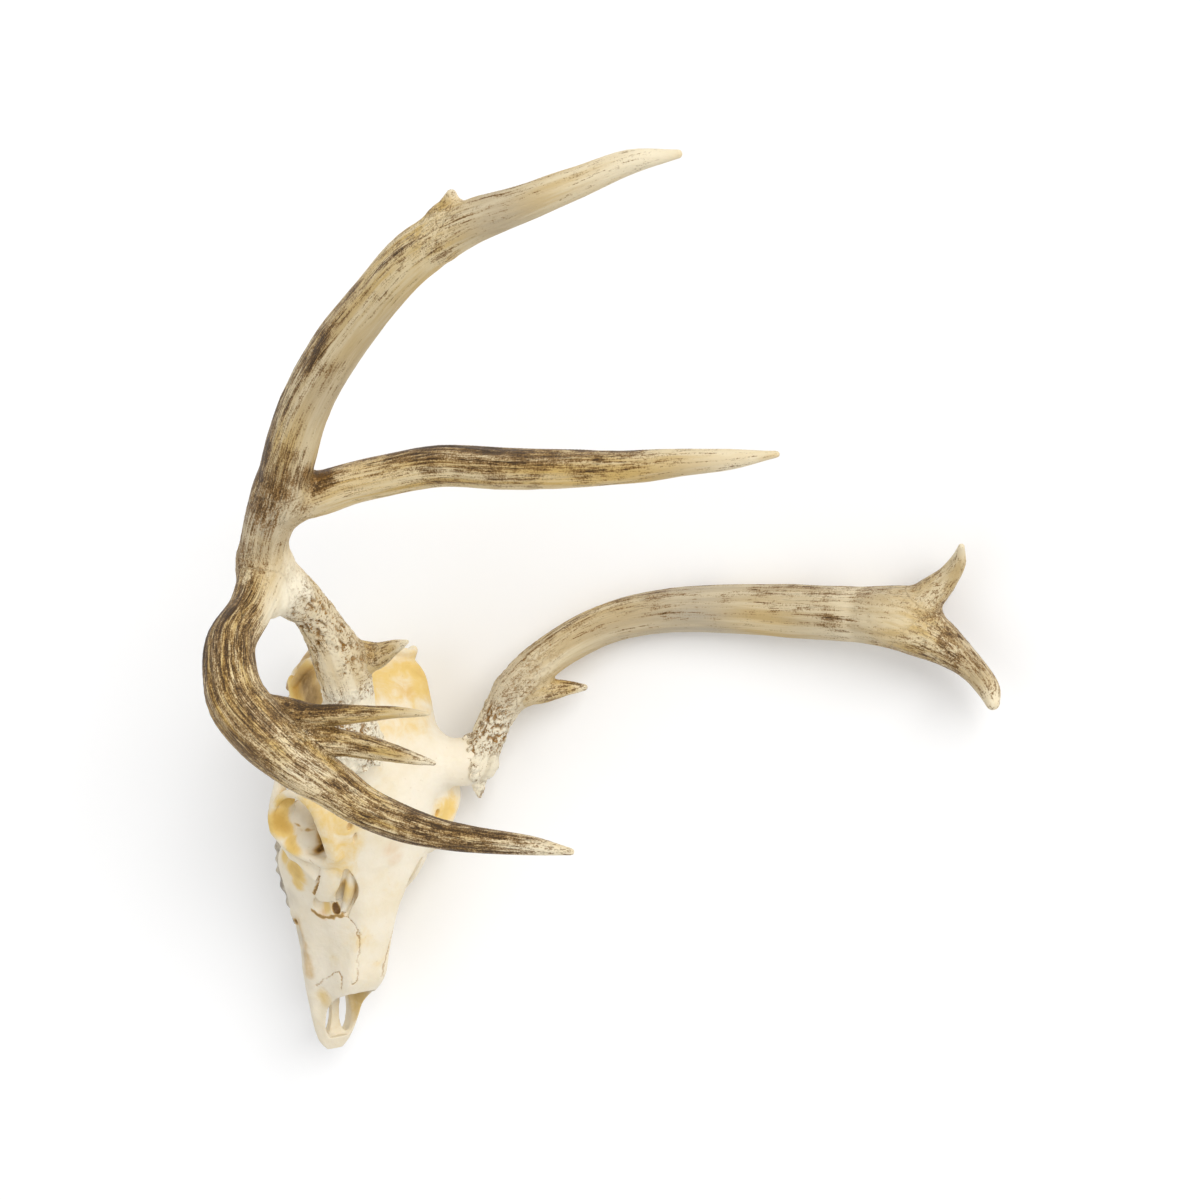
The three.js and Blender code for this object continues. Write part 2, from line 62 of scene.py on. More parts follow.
# Cross-sections of the cranium along the snout, left half: x, then the height of the roof's middle,
# five points (y, z) down the side from the roof's shoulder to the edge of the underside, and the height
# of the underside's middle.
CRANIUM = [
    (4, 62, (14, 62), (24, 58), (27, 48), (23, 38), (15, 29), 28),
    (10, 72, (16, 71), (31, 66), (32, 49), (28, 37), (16, 28), 27),
    (20, 84, (18, 82), (36.5, 75), (37, 51), (33, 36), (15, 28), 27),
    (34, 94, (20, 91), (37, 80.5), (39, 56), (33, 40), (13, 29), 27.5),
    (50, 100, (22, 97), (37, 85.5), (37, 61), (29, 45), (12, 32), 29),
    (64, 103, (25, 101), (37, 92), (31.5, 69), (24, 51), (11, 35), 31),
    (92, 101.5, (23, 99.5), (30, 89), (21, 70), (16, 51), (11, 34), 29),
    (108, 97, (21, 95), (28, 85), (20, 67), (16, 48), (13, 30), 25),
    (119, 92.5, (19, 90.5), (29, 81), (25, 64), (23, 44), (27, 20), 19),
    (126, 89, (18, 87), (31, 78), (36, 62), (36.5, 42), (33.5, 13), 15),
    (136, 84, (16.5, 83), (29.5, 75.5), (37, 57), (38, 37), (34.5, 10.5), 14),
    (150, 78.5, (14, 77.5), (23.5, 70), (31, 50), (34, 31), (31.5, 10.5), 14),
    (165, 73, (12, 72), (17.5, 63), (26, 44), (29.5, 26), (28, 10.5), 14),
    (180, 67, (11.5, 66), (16, 57), (21.5, 39), (27.5, 22), (26.5, 10.5), 14),
    (194, 61, (12, 60), (15.5, 51), (19, 35), (24.5, 19), (22, 11), 13),
    (208, 56, (12, 55), (15, 47), (18, 32), (23, 17), (19.5, 10), 12),
    (220, 46, (10.5, 44), (13.5, 37), (16, 25), (19.5, 15), (18, 9), 10),
    (232, 34, (9, 32), (12, 27), (14.5, 19), (17.5, 13), (15, 8), 9),
    (244, 23, (7.5, 22), (11, 19), (13.5, 15), (14.5, 11), (12, 7), 8),
    (254, 16, (5, 15.5), (8, 14), (10.5, 12), (11, 10), (8.5, 7), 7),
    (260, 12, (3, 11.5), (4.5, 11), (5.5, 10.5), (5.5, 9.5), (4.5, 8), 8),
]

# The frontal bones' shelf over the eyes, in the same form.
BROW_SHELF = [
    (80, 100, (20, 98), (33, 90), (37, 84), (33, 79), (20, 80), 80),
    (87, 100, (22, 98), (42, 90), (48, 85), (43, 81), (22, 84), 84),
    (100, 98, (20, 96), (43, 91), (49.5, 86), (44, 82), (20, 84), 84),
    (112, 94, (19, 92), (38, 88), (45, 84.5), (39, 80), (19, 80), 80),
    (124, 88, (18, 86), (33, 83), (39, 80), (34, 75), (18, 74), 74),
    (132, 84, (16, 82), (27, 78), (32, 74), (28, 69), (16, 68), 68),
]

# The air space inside the face, in the same form. It opens forward, over the front of the palate.
NASAL_CAVITY = [
    (128, 66, (8, 65), (13, 60), (14, 50), (11, 38), (6, 30), 30),
    (140, 70, (9, 68), (18, 64), (20, 52), (14, 36), (7, 28), 27),
    (152, 70, (9.5, 69), (16, 62), (20, 48), (16, 32), (8, 24), 23),
    (170, 65, (9, 64), (13, 56), (18, 42), (16, 27), (8, 20), 19),
    (190, 58, (9, 57), (12, 49), (15, 34), (14, 22), (8, 17), 16.5),
    (209, 51, (9, 50), (11, 42), (13.5, 29), (13, 19), (8, 15.5), 15),
    (217, 46, (9, 44.5), (11, 38), (12.5, 28), (12.5, 18.5), (8, 15), 14.5),
    (224, 60, (9, 57), (11.5, 46), (12.3, 26), (12, 16.5), (7, 13.5), 13),
    (232, 60, (9, 57), (12, 45), (12.2, 23), (11, 15.5), (6, 13.5), 13),
    (244, 50, (8, 45), (10.3, 30), (10.5, 17), (8, 13.5), (4, 12.5), 12.5),
    (251, 40, (5, 35), (7, 25), (7, 16.5), (4.5, 14.5), (2, 13.5), 13.5),
]

# Bars of bone, drawn for the animal's left: x, y, z and half thickness. Round forms: middle, half sizes.
ORBIT_RING = [
    (124, 36, 82, 4), (111, 42, 86, 3.6), (97, 48, 86, 3.6), (87, 52.5, 77, 3), (86, 56, 62, 2.6),
    (96, 58.5, 49, 2.3), (110, 56, 45.5, 2.3), (121, 48, 51, 2.8), (128, 39, 62, 2.8), (129, 36, 73, 3.2),
    (124, 36, 82, 3.6),
]
ORBIT_SHELF = [(88, 51, 47, 3), (98, 50, 41, 5), (110, 46, 38, 6.5), (124, 38, 42, 8)]
CHEEK_ARCH = [
    (110, 51, 41, 5), (94, 53, 45, 4.2), (78, 52, 49, 3.8), (60, 50, 49, 3.8), (46, 45, 46, 4.2),
    (34, 35, 43, 6),
]
PAROCCIPITAL = {
    RIGHT: [(20, -28, 37, 6), (24, -26.5, 25, 4), (28, -25, 17, 2.2)],
    LEFT: [(20, 28, 37, 6), (18, 29.5, 22, 4.6), (16, 30, 8.2, 3)],
}
EAR_TUBE = [(40, 22, 30, 4.5), (36, 32, 33, 4.5)]
NUCHAL_CREST = [
    (12, -35, 50, 2.2), (8, -35, 62, 2.4), (8, -29, 69, 2.4), (5, -15, 69, 2.4), (2, 0, 68.5, 2.4),
    (4, 15, 71, 2.4), (8, 30, 71, 2.4), (8, 36, 63, 2.4), (12, 35, 50, 2.2),
]
CONDYLE = ((11, 11, 31), (8, 7.5, 9))
BULLA = ((38, 21, 24), (11, 8, 10))
FORAMEN_MAGNUM = [(-4, 0, 42, 9), (10, 0, 44, 8.5), (22, 0, 50, 10), (34, 0, 58, 14)]
TUBER = ((113, 26, 30), (19, 9, 20))
PTERYGOID = [(104, 12, 27, 9), (84, 12, 26, 8), (64, 11.5, 30, 6)]

# The two lobes of the papery bulge in the floor of the eye socket, the socket's floor behind its rim, the
# cheekbone's plate under it, and the raised plate of the tear bone in front of it.
LACRIMAL_BULLA = [((101.5, 37.5, 51), (9.5, 9.5, 10)), ((115.5, 36.5, 53.5), (9.5, 9.5, 10))]
SOCKET_FLOOR = [
    (88, 51, 58, 3), (94, 50.5, 52.5, 5), (102, 50, 49, 6), (110, 48.5, 48.5, 6.5), (118, 45, 52, 6),
    (124, 40, 58, 5),
]
CHEEK_PLATE = [
    (108, 49, 43, 2.6), (118, 44.5, 45, 3.2), (128, 40, 49, 3.8), (136, 36, 56, 3.8), (142, 33, 61, 3),
]
TEAR_PLATE = [(133, 34, 71, 5), (142, 31, 64, 7), (151, 28.8, 55, 6)]

# The crest behind the ear and the curl of bone under it.
MASTOID_CREST = [
    (7, 35, 66, 2.6), (13, 38, 58, 3), (20, 39.3, 51, 2.6), (24, 38, 45, 3.2), (31, 39, 48, 2.6),
    (36, 39, 56, 2.6),
]
MASTOID_CURL = ((21.5, 38.5, 44), (4.2, 2.4, 3.4))

# Cheek teeth of one side from the last molar forward: x of the middle, length, outer and inner width.
TEETH = [
    (110, 14, 33.8, 19),
    (125, 15, 34, 18),
    (140, 14, 33.8, 17),
    (153, 11, 31.2, 15.5),
    (164, 10.5, 27.5, 14),
    (175, 10.5, 23.5, 12.5),
]
TOOTH_TOP = 18
CROWN_FOOT = 1.2
TOOTH_OVERLAP = 0.4
VALLEY = 0.8  # half the width of a worn valley
GUM_LINE = 4  # the height of the bar that joins a row
MOLARS = 3  # the first teeth of the table, each with two lobes
WORN = {RIGHT: 2.4, LEFT: 0.0}  # mm that each row has lost at its outer face

PEDICLES = {
    RIGHT: [(74, -22, 86, 17), (63, -31, 98, 14.5), (55, -37, 108, 14.5)],
    LEFT: [(74, 22, 86, 17), (74, 36, 96, 14.2), (74, 47, 104, 13.8)],
}

# Antlers: each branch runs from its parent's middle line to its tip as x, y, z and half thickness.
RIGHT_ANTLER = {
    "main_beam": [
        (50, -40, 112, 16.6), (35, -44, 119, 15.5), (19, -49, 127, 15), (0, -60, 138, 15.5),
        (-22, -77, 148, 12.2), (-38, -93, 156, 11.8), (-49, -109, 163, 13), (-61, -124, 170, 15),
        (-74, -127, 177, 13.3), (-89, -127, 186, 14.1), (-103, -124, 195, 15.6), (-109, -125, 200, 12),
    ],
    "brow_tine": [
        (0, -58, 138, 10), (-1, -47, 142, 9.5), (-2, -42, 150, 7.6), (-7, -39, 162, 4.6),
        (-11, -37, 174, 1.4),
    ],
    "front_beam": [
        (-63, -122, 169, 13.5), (-39, -139, 180, 12), (-24, -157, 190, 13.2), (-10, -164, 199, 14.3),
        (7, -166, 210, 16), (23, -158, 221, 16.4), (39, -145, 232, 14.8), (52, -131, 243, 12.5),
        (64, -119, 255, 10.8), (74, -104, 275, 9.3), (78, -94, 290, 8), (80.5, -83, 306, 6.8),
        (82.5, -66, 333, 5.1), (85, -54, 352, 2),
    ],
    "inner_front_tine": [
        (14, -155, 214, 11), (15, -145, 220, 9.5), (16, -134, 234, 6.4), (15, -127, 247, 5.9),
        (13, -118, 271, 4.3), (12, -110, 294, 2.6), (12, -107, 304, 1.2),
    ],
    "outer_front_tine": [
        (28, -152, 224, 11), (29, -137, 234, 8.8), (30, -126, 250, 7.3), (32, -119, 265, 6.4),
        (34, -114, 281, 4.9), (36, -109, 293, 3.2), (38, -104, 303, 1.4),
    ],
    "upper_rear_tine": [
        (-99, -125, 193, 13.5), (-118, -128, 208, 14.2), (-149, -134, 240, 13.6), (-178, -134, 275, 12.9),
        (-202, -131, 310, 12.4), (-221, -129.5, 345, 13), (-233.5, -122.5, 378, 11), (-242, -108, 408, 8.6),
        (-251, -92, 434, 7.2), (-258.5, -78, 454, 5.8), (-261, -63, 472, 2.2),
    ],
    "lower_rear_tine": [
        (-97, -121, 192, 13.5), (-100, -108, 206, 12), (-105, -98, 222, 11.1), (-109, -89, 242, 11),
        (-114, -75, 277, 11), (-112, -60, 318, 10.7), (-112, -33, 378, 8.9), (-114, -17, 406, 6.9),
        (-115, -2, 428, 5.2), (-117, 12, 447, 1.8),
    ],
    "rear_knob": [
        (-228, -124, 362, 9), (-236, -126, 368, 8.6), (-242, -126.5, 372.5, 5.6), (-248.3, -128, 377, 2.6),
    ],
}
LEFT_ANTLER = {
    "main_beam": [
        (71.5, 52, 109, 10.8), (63.5, 54, 113, 10.2), (50, 57, 119, 10), (37.5, 61, 126, 10.5),
        (23, 69, 135, 11.7), (7, 84, 148, 11.2), (-8, 106, 168, 12), (-16, 127, 198, 12.8),
        (-18, 148, 236, 14), (-17, 167, 278, 15.4), (-16, 181, 314, 16), (-15, 191, 338, 17),
        (-14, 196, 347, 12),
    ],
    "brow_tine": [
        (31, 64, 130, 10), (30, 69, 134, 9.6), (31, 80, 141, 7.3), (30, 90, 148, 4.8), (30, 100, 154, 2.1),
    ],
    "rear_tine": [
        (-18, 190, 336, 12), (-22, 196, 346, 11), (-29, 201, 353, 9), (-37, 205, 361, 6.6),
        (-46, 205, 370, 4.8), (-56, 199, 380, 1.9),
    ],
    "front_tine": [
        (-14, 188, 334, 14), (-8, 196, 346, 15), (-2, 203, 354, 12.6), (8, 211, 364, 9.2),
        (16, 215, 372, 7.4), (25.5, 215.5, 382, 6.2), (32, 211.5, 389, 4),
    ],
}
# The smooth web of the right antler's main fork, arched over the gap between its beams.
FORK_WEB = [(-37, -99, 159, 10), (-45, -112, 166, 13), (-42, -126, 173, 11)]
# Each burr's collar of knobs: where its axis starts and ends, and its radius.
BURRS = {
    RIGHT: ((56, -36, 107), (48, -41, 115), 19.5),
    LEFT: ((74, 48, 105), (73, 52.5, 108.5), 15.4),
}
BURR_SPUR = [(82, 51, 108, 5), (88, 51.5, 108, 4), (95, 52, 108, 1.5)]
KNOBS = 19
UNEVEN = (7.3, 5.1, 3.7, 9.1)  # multiplies a knob's number, so that no two are alike

# The grids that the pieces are sculpted in: the two corners of the box and the step, in mm.
GRIDS = {
    "skull": ((-3, -63, -1), (264, 63, 124), 0.6),
    "cheek_teeth": ((100, -37, -1), (184, 37, 24), 0.5),
    "antler_right": ((-280, -190, 84), (98, 24, 480), 0.9),
    "antler_left": ((-66, 30, 84), (104, 232, 398), 0.8),
}

# ---- distance field tools

FAR = 30.0  # mm, the distance of what is nowhere near
ROOM = 3  # mm beyond its blend that a bar or a loft is worked out
BALL_ROOM = 2
TINY = 1e-6


def dot(v, n):
    return sum(v[i] * n[i] for i in range(3))


def catmull(points, per_span, closed=False):
    """Points on the centripetal spline through the given ones, all columns alike."""
    p = np.asarray(points, float)
    if closed:
        p = np.vstack([p[-1:], p, p[:2]])
    else:
        p = np.vstack([2 * p[0] - p[1], p, 2 * p[-1] - p[-2]])
    out = []
    u = (np.arange(per_span) / per_span)[:, None]
    for four in zip(p[:-3], p[1:-2], p[2:-1], p[3:]):
        steps = [max(norm(b - a), TINY) ** 0.5 for a, b in zip(four, four[1:])]
        knots = np.cumsum([0, *steps])
        t = knots[1] + u * (knots[2] - knots[1])

        def between(a, b, i, j):
            gap = knots[j] - knots[i]
            return (knots[j] - t) / gap * a + (t - knots[i]) / gap * b

        first, middle, last = (between(four[i], four[i + 1], i, i + 1) for i in range(3))
        out.append(between(between(first, middle, 0, 2), between(middle, last, 1, 3), 1, 2))
    if not closed:
        out.append(p[-2:-1])
    return np.vstack(out)


def blended(a, b, width):
    """The nearer of two fields, rounded over where they meet."""
    near = np.minimum(a, b)
    if width <= 0:
        return near
    h = np.maximum(width - np.abs(a - b), 0)
    return near - h * h * (0.25 / width)


class Field:
    """A signed distance field in mm over a box of the drawing axes, negative inside the bone."""

    def __init__(self, low, high, step):
        self.step = step
        self.first = np.floor(np.array(low) / step).astype(int)
        self.low = self.first * step
        self.d = np.full(np.ceil((np.array(high) - self.low) / step).astype(int) + 1, FAR, np.float32)

    def window(self, low, high):
        """The part of the grid between two corners, and its three axes in mm."""
        a = np.maximum(np.floor((np.array(low) - self.low) / self.step).astype(int), 0)
        b = np.minimum(np.ceil((np.array(high) - self.low) / self.step).astype(int) + 1, self.d.shape)
        b = np.maximum(b, a)
        axes = [(self.low[i] + self.step * np.arange(a[i], b[i])).astype(np.float32) for i in range(3)]
        return tuple(slice(p, q) for p, q in zip(a, b)), np.ix_(*axes)

    def put(self, where, d, blend, cut):
        """Joins a shape to the bone, or cuts it out."""
        if cut:
            self.d[where] = -blended(-self.d[where], d, blend)
        else:
            self.d[where] = blended(self.d[where], d, blend)

    def ball(self, at, half, blend, cut=False):
        """An ellipsoid with its middle and its half sizes."""
        at, half = np.array(at, float), np.array(half, float)
        reach = half + blend + BALL_ROOM
        where, axes = self.window(at - reach, at + reach)
        p = [axes[i] - at[i] for i in range(3)]
        k0 = np.sqrt(sum((p[i] / half[i]) ** 2 for i in range(3)))
        k1 = np.sqrt(sum((p[i] / half[i] ** 2) ** 2 for i in range(3))) + TINY
        self.put(where, k0 * (k0 - 1) / k1, blend, cut)

    def tube(self, stations, blend, cut=False, spans=4, flat=None):
        """A round bar through stations. flat = (direction, factor) makes it thinner that way."""
        s = catmull(stations, spans) if spans > 1 else np.asarray(stations, float)
        rim = s[:, 3:4] + blend + ROOM
        lowest, highest = (s[:, :3] - rim).min(0), (s[:, :3] + rim).max(0)
        where, axes = self.window(lowest, highest)
        d = np.full([a.size for a in axes], FAR, np.float32)
        base = [w.start for w in where]
        n, k = (np.array(flat[0], float), flat[1]) if flat else (np.zeros(3), 1.0)
        for p, q in zip(s[:-1], s[1:]):
            reach = max(p[3], q[3]) + blend + ROOM
            piece, at = self.window(
                np.maximum(np.minimum(p, q)[:3] - reach, lowest),
                np.minimum(np.maximum(p, q)[:3] + reach, highest),
            )
            local = tuple(slice(w.start - b, w.stop - b) for w, b in zip(piece, base))
            ab = q[:3] - p[:3]
            v = [at[i] - p[i] for i in range(3)]
            if flat:
                over = dot(v, n) * (k - 1)
                v = [v[i] + over * n[i] for i in range(3)]
                ab = ab + (k - 1) * dot(ab, n) * n
            t = np.clip(dot(v, ab) / max(dot(ab, ab), TINY), 0, 1)
            away = np.sqrt(sum((v[i] - t * ab[i]) ** 2 for i in range(3)))
            found = away - (p[3] + t * (q[3] - p[3]))
            d[local] = np.minimum(d[local], found)
        self.put(where, d, blend, cut)

    def loft(self, sections, blend, cut=False):
        """A closed body through sections of the cranium's form."""
        rings = []
        for row in catmull([[x, top, *np.ravel(side), low] for x, top, *side, low in sections], 5):
            side = row[2:-1].reshape(-1, 2)
            loop = np.vstack([[0, row[1]], side, [0, row[-1]], side[::-1] * (-1, 1)])
            loop = catmull(loop, 6, closed=True)
            rings.append(np.column_stack([np.full(len(loop), row[0]), loop]))
        count = len(rings[0])
        points = np.vstack(rings + [[rings[0].mean(0)], [rings[-1].mean(0)]]).astype(np.float32)
        j = np.arange(count)
        k = (j + 1) % count
        tris = []
        for i in range(len(rings) - 1):
            a, b = i * count + j, i * count + k
            tris += [np.column_stack([a, b, b + count]), np.column_stack([a, b + count, a + count])]
        last = (len(rings) - 1) * count
        tris.append(np.column_stack([np.full(count, len(points) - 2), k, j]))
        tris.append(np.column_stack([np.full(count, len(points) - 1), last + j, last + k]))
        grid = openvdb.FloatGrid.createLevelSetFromPolygons(
            points,
            triangles=np.vstack(tris).astype(np.uint32),
            transform=openvdb.createLinearTransform(voxelSize=self.step),
            halfWidth=(blend + ROOM) / self.step,
        )
        d = np.empty(self.d.shape, np.float32)
        grid.copyToArray(d, ijk=tuple(int(v) for v in self.first))
        self.put(slice(None), d, blend, cut)

    def surface(self):
        """Points (mm) and quads of the surface."""
        grid = openvdb.FloatGrid(2 * self.step)
        grid.copyFromArray(np.clip(self.d, -2 * self.step, 2 * self.step))
        points, _, quads = grid.convertToPolygons(isovalue=0, adaptivity=0)
        points = points * self.step + self.low
        a, b, c, d = (points[quads[:, i]] for i in range(4))
        if np.einsum("ij,ij->", a, np.cross(b, c) + np.cross(c, d)) < 0:
            quads = quads[:, ::-1]
        return points, quads.astype(np.int64)


def normals(points, quads):
    """The direction that the surface faces at each point."""
    a, b, c, d = (points[quads[:, i]] for i in range(4))
    flat = np.cross(c - a, d - b)
    out = np.zeros_like(points)
    for i in range(3):
        total = sum(np.bincount(quads[:, j], flat[:, i], len(points)) for j in range(4))
        out[:, i] = total
    return out / np.maximum(norm(out, axis=1, keepdims=True), TINY)


def largest_shell(points, quads):
    """Drops loose crumbs: keeps the shell with the most points."""
    label = np.arange(len(points))
    edges = np.vstack([quads[:, [0, 1]], quads[:, [1, 2]], quads[:, [2, 3]]])
    while True:
        low = np.minimum(label[edges[:, 0]], label[edges[:, 1]])
        new = label.copy()
        np.minimum.at(new, edges[:, 0], low)
        np.minimum.at(new, edges[:, 1], low)
        new = new[new]
        if (new == label).all():
            break
        label = new
    main = np.bincount(label).argmax()
    keep = label == main
    index = np.cumsum(keep) - 1
    return points[keep], index[quads[keep[quads[:, 0]]]]


# ---- noise

def hashed(i, j, k, salt):
    """A number from 0 to 1 for each cell i, j, k, by a spatial hash, the same in every run."""
    n = (i * 73856093) ^ (j * 19349663) ^ (k * 83492791) ^ (salt * 2654435)
    n = (n ^ (n >> 13)) * 1274126177 & 0x7FFFFFFF
    n = (n ^ (n >> 15)) * 2246822519 & 0x7FFFFFFF
    return ((n ^ (n >> 11)) & 0xFFFFFF) / 0xFFFFFF


def noise(p, salt):
    """Smooth noise in -1 to 1 at points."""
    base = np.floor(p).astype(np.int64)
    f = p - base
    f = f * f * (3 - 2 * f)
    total = 0
    for corner in np.ndindex(2, 2, 2):
        weight = np.abs(1 - np.array(corner) - f).prod(axis=1)
        total = total + weight * hashed(*(base + corner).T, salt)
    return 2 * total - 1


def rough(p, octaves, salt):
    """Noise with finer noise on it, each octave half as wide and half as high."""
    return sum(noise(p * 2**o, salt + o) / 2**o for o in range(octaves)) / (2 - 2.0 ** (1 - octaves))


def cells(p, salt):
    """Distance to the nearest scattered point, and that point's own random number."""
    base = np.floor(p).astype(np.int64)
    best = np.full(len(p), np.inf)
    owner = np.zeros(len(p))
    for corner in np.ndindex(3, 3, 3):
        c = base + corner - 1
        spot = np.column_stack([c[:, i] + hashed(*c.T, salt + i) for i in range(3)])
        away = norm(spot - p, axis=1)
        nearer = away < best
        best = np.where(nearer, away, best)
        owner = np.where(nearer, hashed(*c.T, salt + 7), owner)
    return best, owner


def ramp(value, low, high):
    """0 at low and 1 at high, smooth between them."""
    t = np.clip((value - low) / (high - low), 0, 1)
    return t * t * (3 - 2 * t)


LINE_SPANS = 6
LINE_DEPTH = 6  # mm over or under the surface within which a line counts as drawn on it


def near_line(p, line, facing):
    """Distance along the surface from points to a spline near it. Where facing is 0, it is straight."""
    s = catmull(line, LINE_SPANS)
    best = np.full(len(p), np.inf)
    for a, b in zip(s[:-1], s[1:]):
        ab = b - a
        t = np.clip((p - a) @ ab / max(ab @ ab, TINY), 0, 1)
        gap = p - a - t[:, None] * ab
        deep = np.einsum("ij,ij->i", gap, facing)
        beside = norm(gap - deep[:, None] * facing, axis=1)
        best = np.minimum(best, beside + np.maximum(np.abs(deep) - LINE_DEPTH, 0))
    return best


# ---- materials

class Nodes:
    """Short names for the shader nodes a material is made of."""

    def __init__(self, name):
        self.material = bpy.data.materials.new(name)
        self.material.use_nodes = True
        self.tree = self.material.node_tree
        self.shader = self.tree.nodes["Principled BSDF"]

    def link(self, value, socket):
        if isinstance(value, bpy.types.NodeSocket):
            self.tree.links.new(value, socket)
        else:
            socket.default_value = value

    def made(self, kind, sockets, **settings):
        """A new node with these settings, its sockets linked to others or given their constants."""
        node = self.tree.nodes.new("ShaderNode" + kind)
        for key, value in settings.items():
            setattr(node, key, value)
        for key, value in sockets.items():
            self.link(value, node.inputs[key])
        return node.outputs

    def attribute(self, name, output="Fac"):
        return self.made("Attribute", {}, attribute_name=name)[output]

    def place(self):
        return self.made("TexCoord", {})["Object"]

    def scaled(self, vector, factors):
        return self.made("VectorMath", {0: vector, 1: factors}, operation="MULTIPLY")[0]

    def noise(self, vector, scale, detail, roughness, distortion=0.0):
        shape = {"Scale": scale, "Detail": detail, "Roughness": roughness, "Distortion": distortion}
        return self.made("TexNoise", {"Vector": vector, **shape})["Fac"]

    def math(self, operation, a, b=0.0):
        return self.made("Math", {0: a, 1: b}, operation=operation)[0]

    def plus(self, a, b):
        return self.math("ADD", a, b)

    def minus(self, a, b):
        return self.math("SUBTRACT", a, b)

    def times(self, a, b):
        return self.math("MULTIPLY", a, b)

    def swing(self, value, factor, middle=0.5):
        """How far a value is from its middle, times a factor."""
        return self.times(self.minus(value, middle), factor)

    def span(self, value, low, high, to_low=0.0, to_high=1.0):
        """0 to 1, or to_low to to_high, as a value goes from low to high."""
        ends = {"From Min": low, "From Max": high, "To Min": to_low, "To Max": to_high}
        return self.made("MapRange", {"Value": value, **ends}, interpolation_type="SMOOTHSTEP")["Result"]

    def mix(self, amount, a, b):
        return self.made("Mix", {"Factor": amount, 6: a, 7: b}, data_type="RGBA")[2]

    def bump(self, height, strength, distance, under=None):
        """A normal for a height, on top of another bump where there is one."""
        sockets = {"Height": height, "Strength": strength, "Distance": distance}
        if under is not None:
            sockets["Normal"] = under
        return self.made("Bump", sockets)["Normal"]

    def surface(self, sockets):
        """The material, with the sockets of its shader linked or given their constants."""
        for key, value in sockets.items():
            self.link(value, self.shader.inputs[key])
        return self.material


IVORY = (0.85, 0.775, 0.63, 1)
CREAM = (0.80, 0.70, 0.51, 1)
YELLOW = (0.78, 0.54, 0.16, 1)
DEEP_YELLOW = (0.56, 0.32, 0.05, 1)
GREY = (0.50, 0.44, 0.34, 1)
RUST = (0.66, 0.36, 0.12, 1)
SEAM = (0.42, 0.25, 0.09, 1)
# The tan at the rims of the painted shade.
SHADE_RIM = (0.56, 0.36, 0.13, 1)
SHADE = (0.13, 0.062, 0.014, 1)
WHITE_ANTLER = (0.87, 0.79, 0.61, 1)
PALE_ANTLER = (0.77, 0.63, 0.38, 1)
HONEY_ANTLER = (0.61, 0.41, 0.125, 1)
GREY_ANTLER = (0.47, 0.41, 0.31, 1)
BROWN_ANTLER = (0.215, 0.11, 0.026, 1)
DARK_ANTLER = (0.05, 0.027, 0.010, 1)
PIT_ANTLER = (0.35, 0.165, 0.022, 1)
ENAMEL = (0.55, 0.48, 0.35, 1)
DARK_ENAMEL = (0.20, 0.16, 0.11, 1)
FLOOR = (0.98, 0.98, 0.98, 1)
WHITE = (1, 1, 1, 1)


def bone_material():
    n = Nodes("dry_bone")
    place = n.place()
    cloud = n.noise(place, 28, 5, 0.6)
    patch = n.noise(place, 75, 5, 0.65, 0.8)
    fine = n.noise(place, 260, 4, 0.65)
    colour = n.mix(n.span(cloud, 0.35, 0.7), IVORY, CREAM)
    yellow = n.plus(n.attribute("yellow"), n.swing(n.plus(cloud, patch), 1.3, 1.0))
    colour = n.mix(n.span(yellow, 0.1, 0.95, 0.0, 0.95), colour, YELLOW)
    colour = n.mix(n.span(yellow, 0.8, 1.7, 0.0, 0.75), colour, DEEP_YELLOW)
    # The grey mask is partly painted shade, low on the muzzle's side, in the face's gap and behind the ear.
    for key, least, most, tint in (("grey", 0.35, 1.0, GREY), ("rust", 0.2, 0.9, RUST)):
        share = n.times(n.attribute(key), n.span(patch, 0.3, 0.7, least, most))
        colour = n.mix(share, colour, tint)
    wander = n.swing(n.noise(place, 900, 3, 0.6), 2.2)
    seam = n.span(n.plus(n.attribute("seam"), wander), 0.1, 0.75, 1.0, 0.0)
    seam = n.times(seam, n.span(patch, 0.35, 0.6, 0.25, 0.85))
    colour = n.mix(seam, colour, SEAM)
    # Painted shade in the holes, gaps and eye socket and behind the ear: tan at its rims, dark brown in its
    # depths.
    shade = n.times(n.attribute("shade"), n.span(fine, 0.2, 0.8, 0.7, 1.0))
    colour = n.mix(n.span(shade, 0.0, 0.5), colour, SHADE_RIM)
    colour = n.mix(n.span(shade, 0.3, 0.9), colour, SHADE)
    specks = n.span(n.noise(place, 420, 2, 0.5), 0.68, 0.78, 0.0, 0.22)
    colour = n.mix(specks, colour, SEAM)
    grain = n.noise(n.scaled(place, (0.5, 1, 1)), 700, 4, 0.7)
    normal = n.bump(fine, 0.3, 0.0014)
    normal = n.bump(n.minus(1.0, seam), 0.5, 0.0006, normal)
    sockets = {
        "Base Color": colour,
        "Roughness": n.span(fine, 0.2, 0.8, 0.42, 0.66),
        "Normal": n.bump(grain, 0.2, 0.0004, normal),
        "Specular IOR Level": 0.3,
        "Subsurface Weight": 0.05,
        "Subsurface Radius": (0.004, 0.0025, 0.0012),
    }
    return n.surface(sockets)


BRANCH_PLACES = ("grain", "grain_beside")  # the places on a point's nearest and second nearest branch


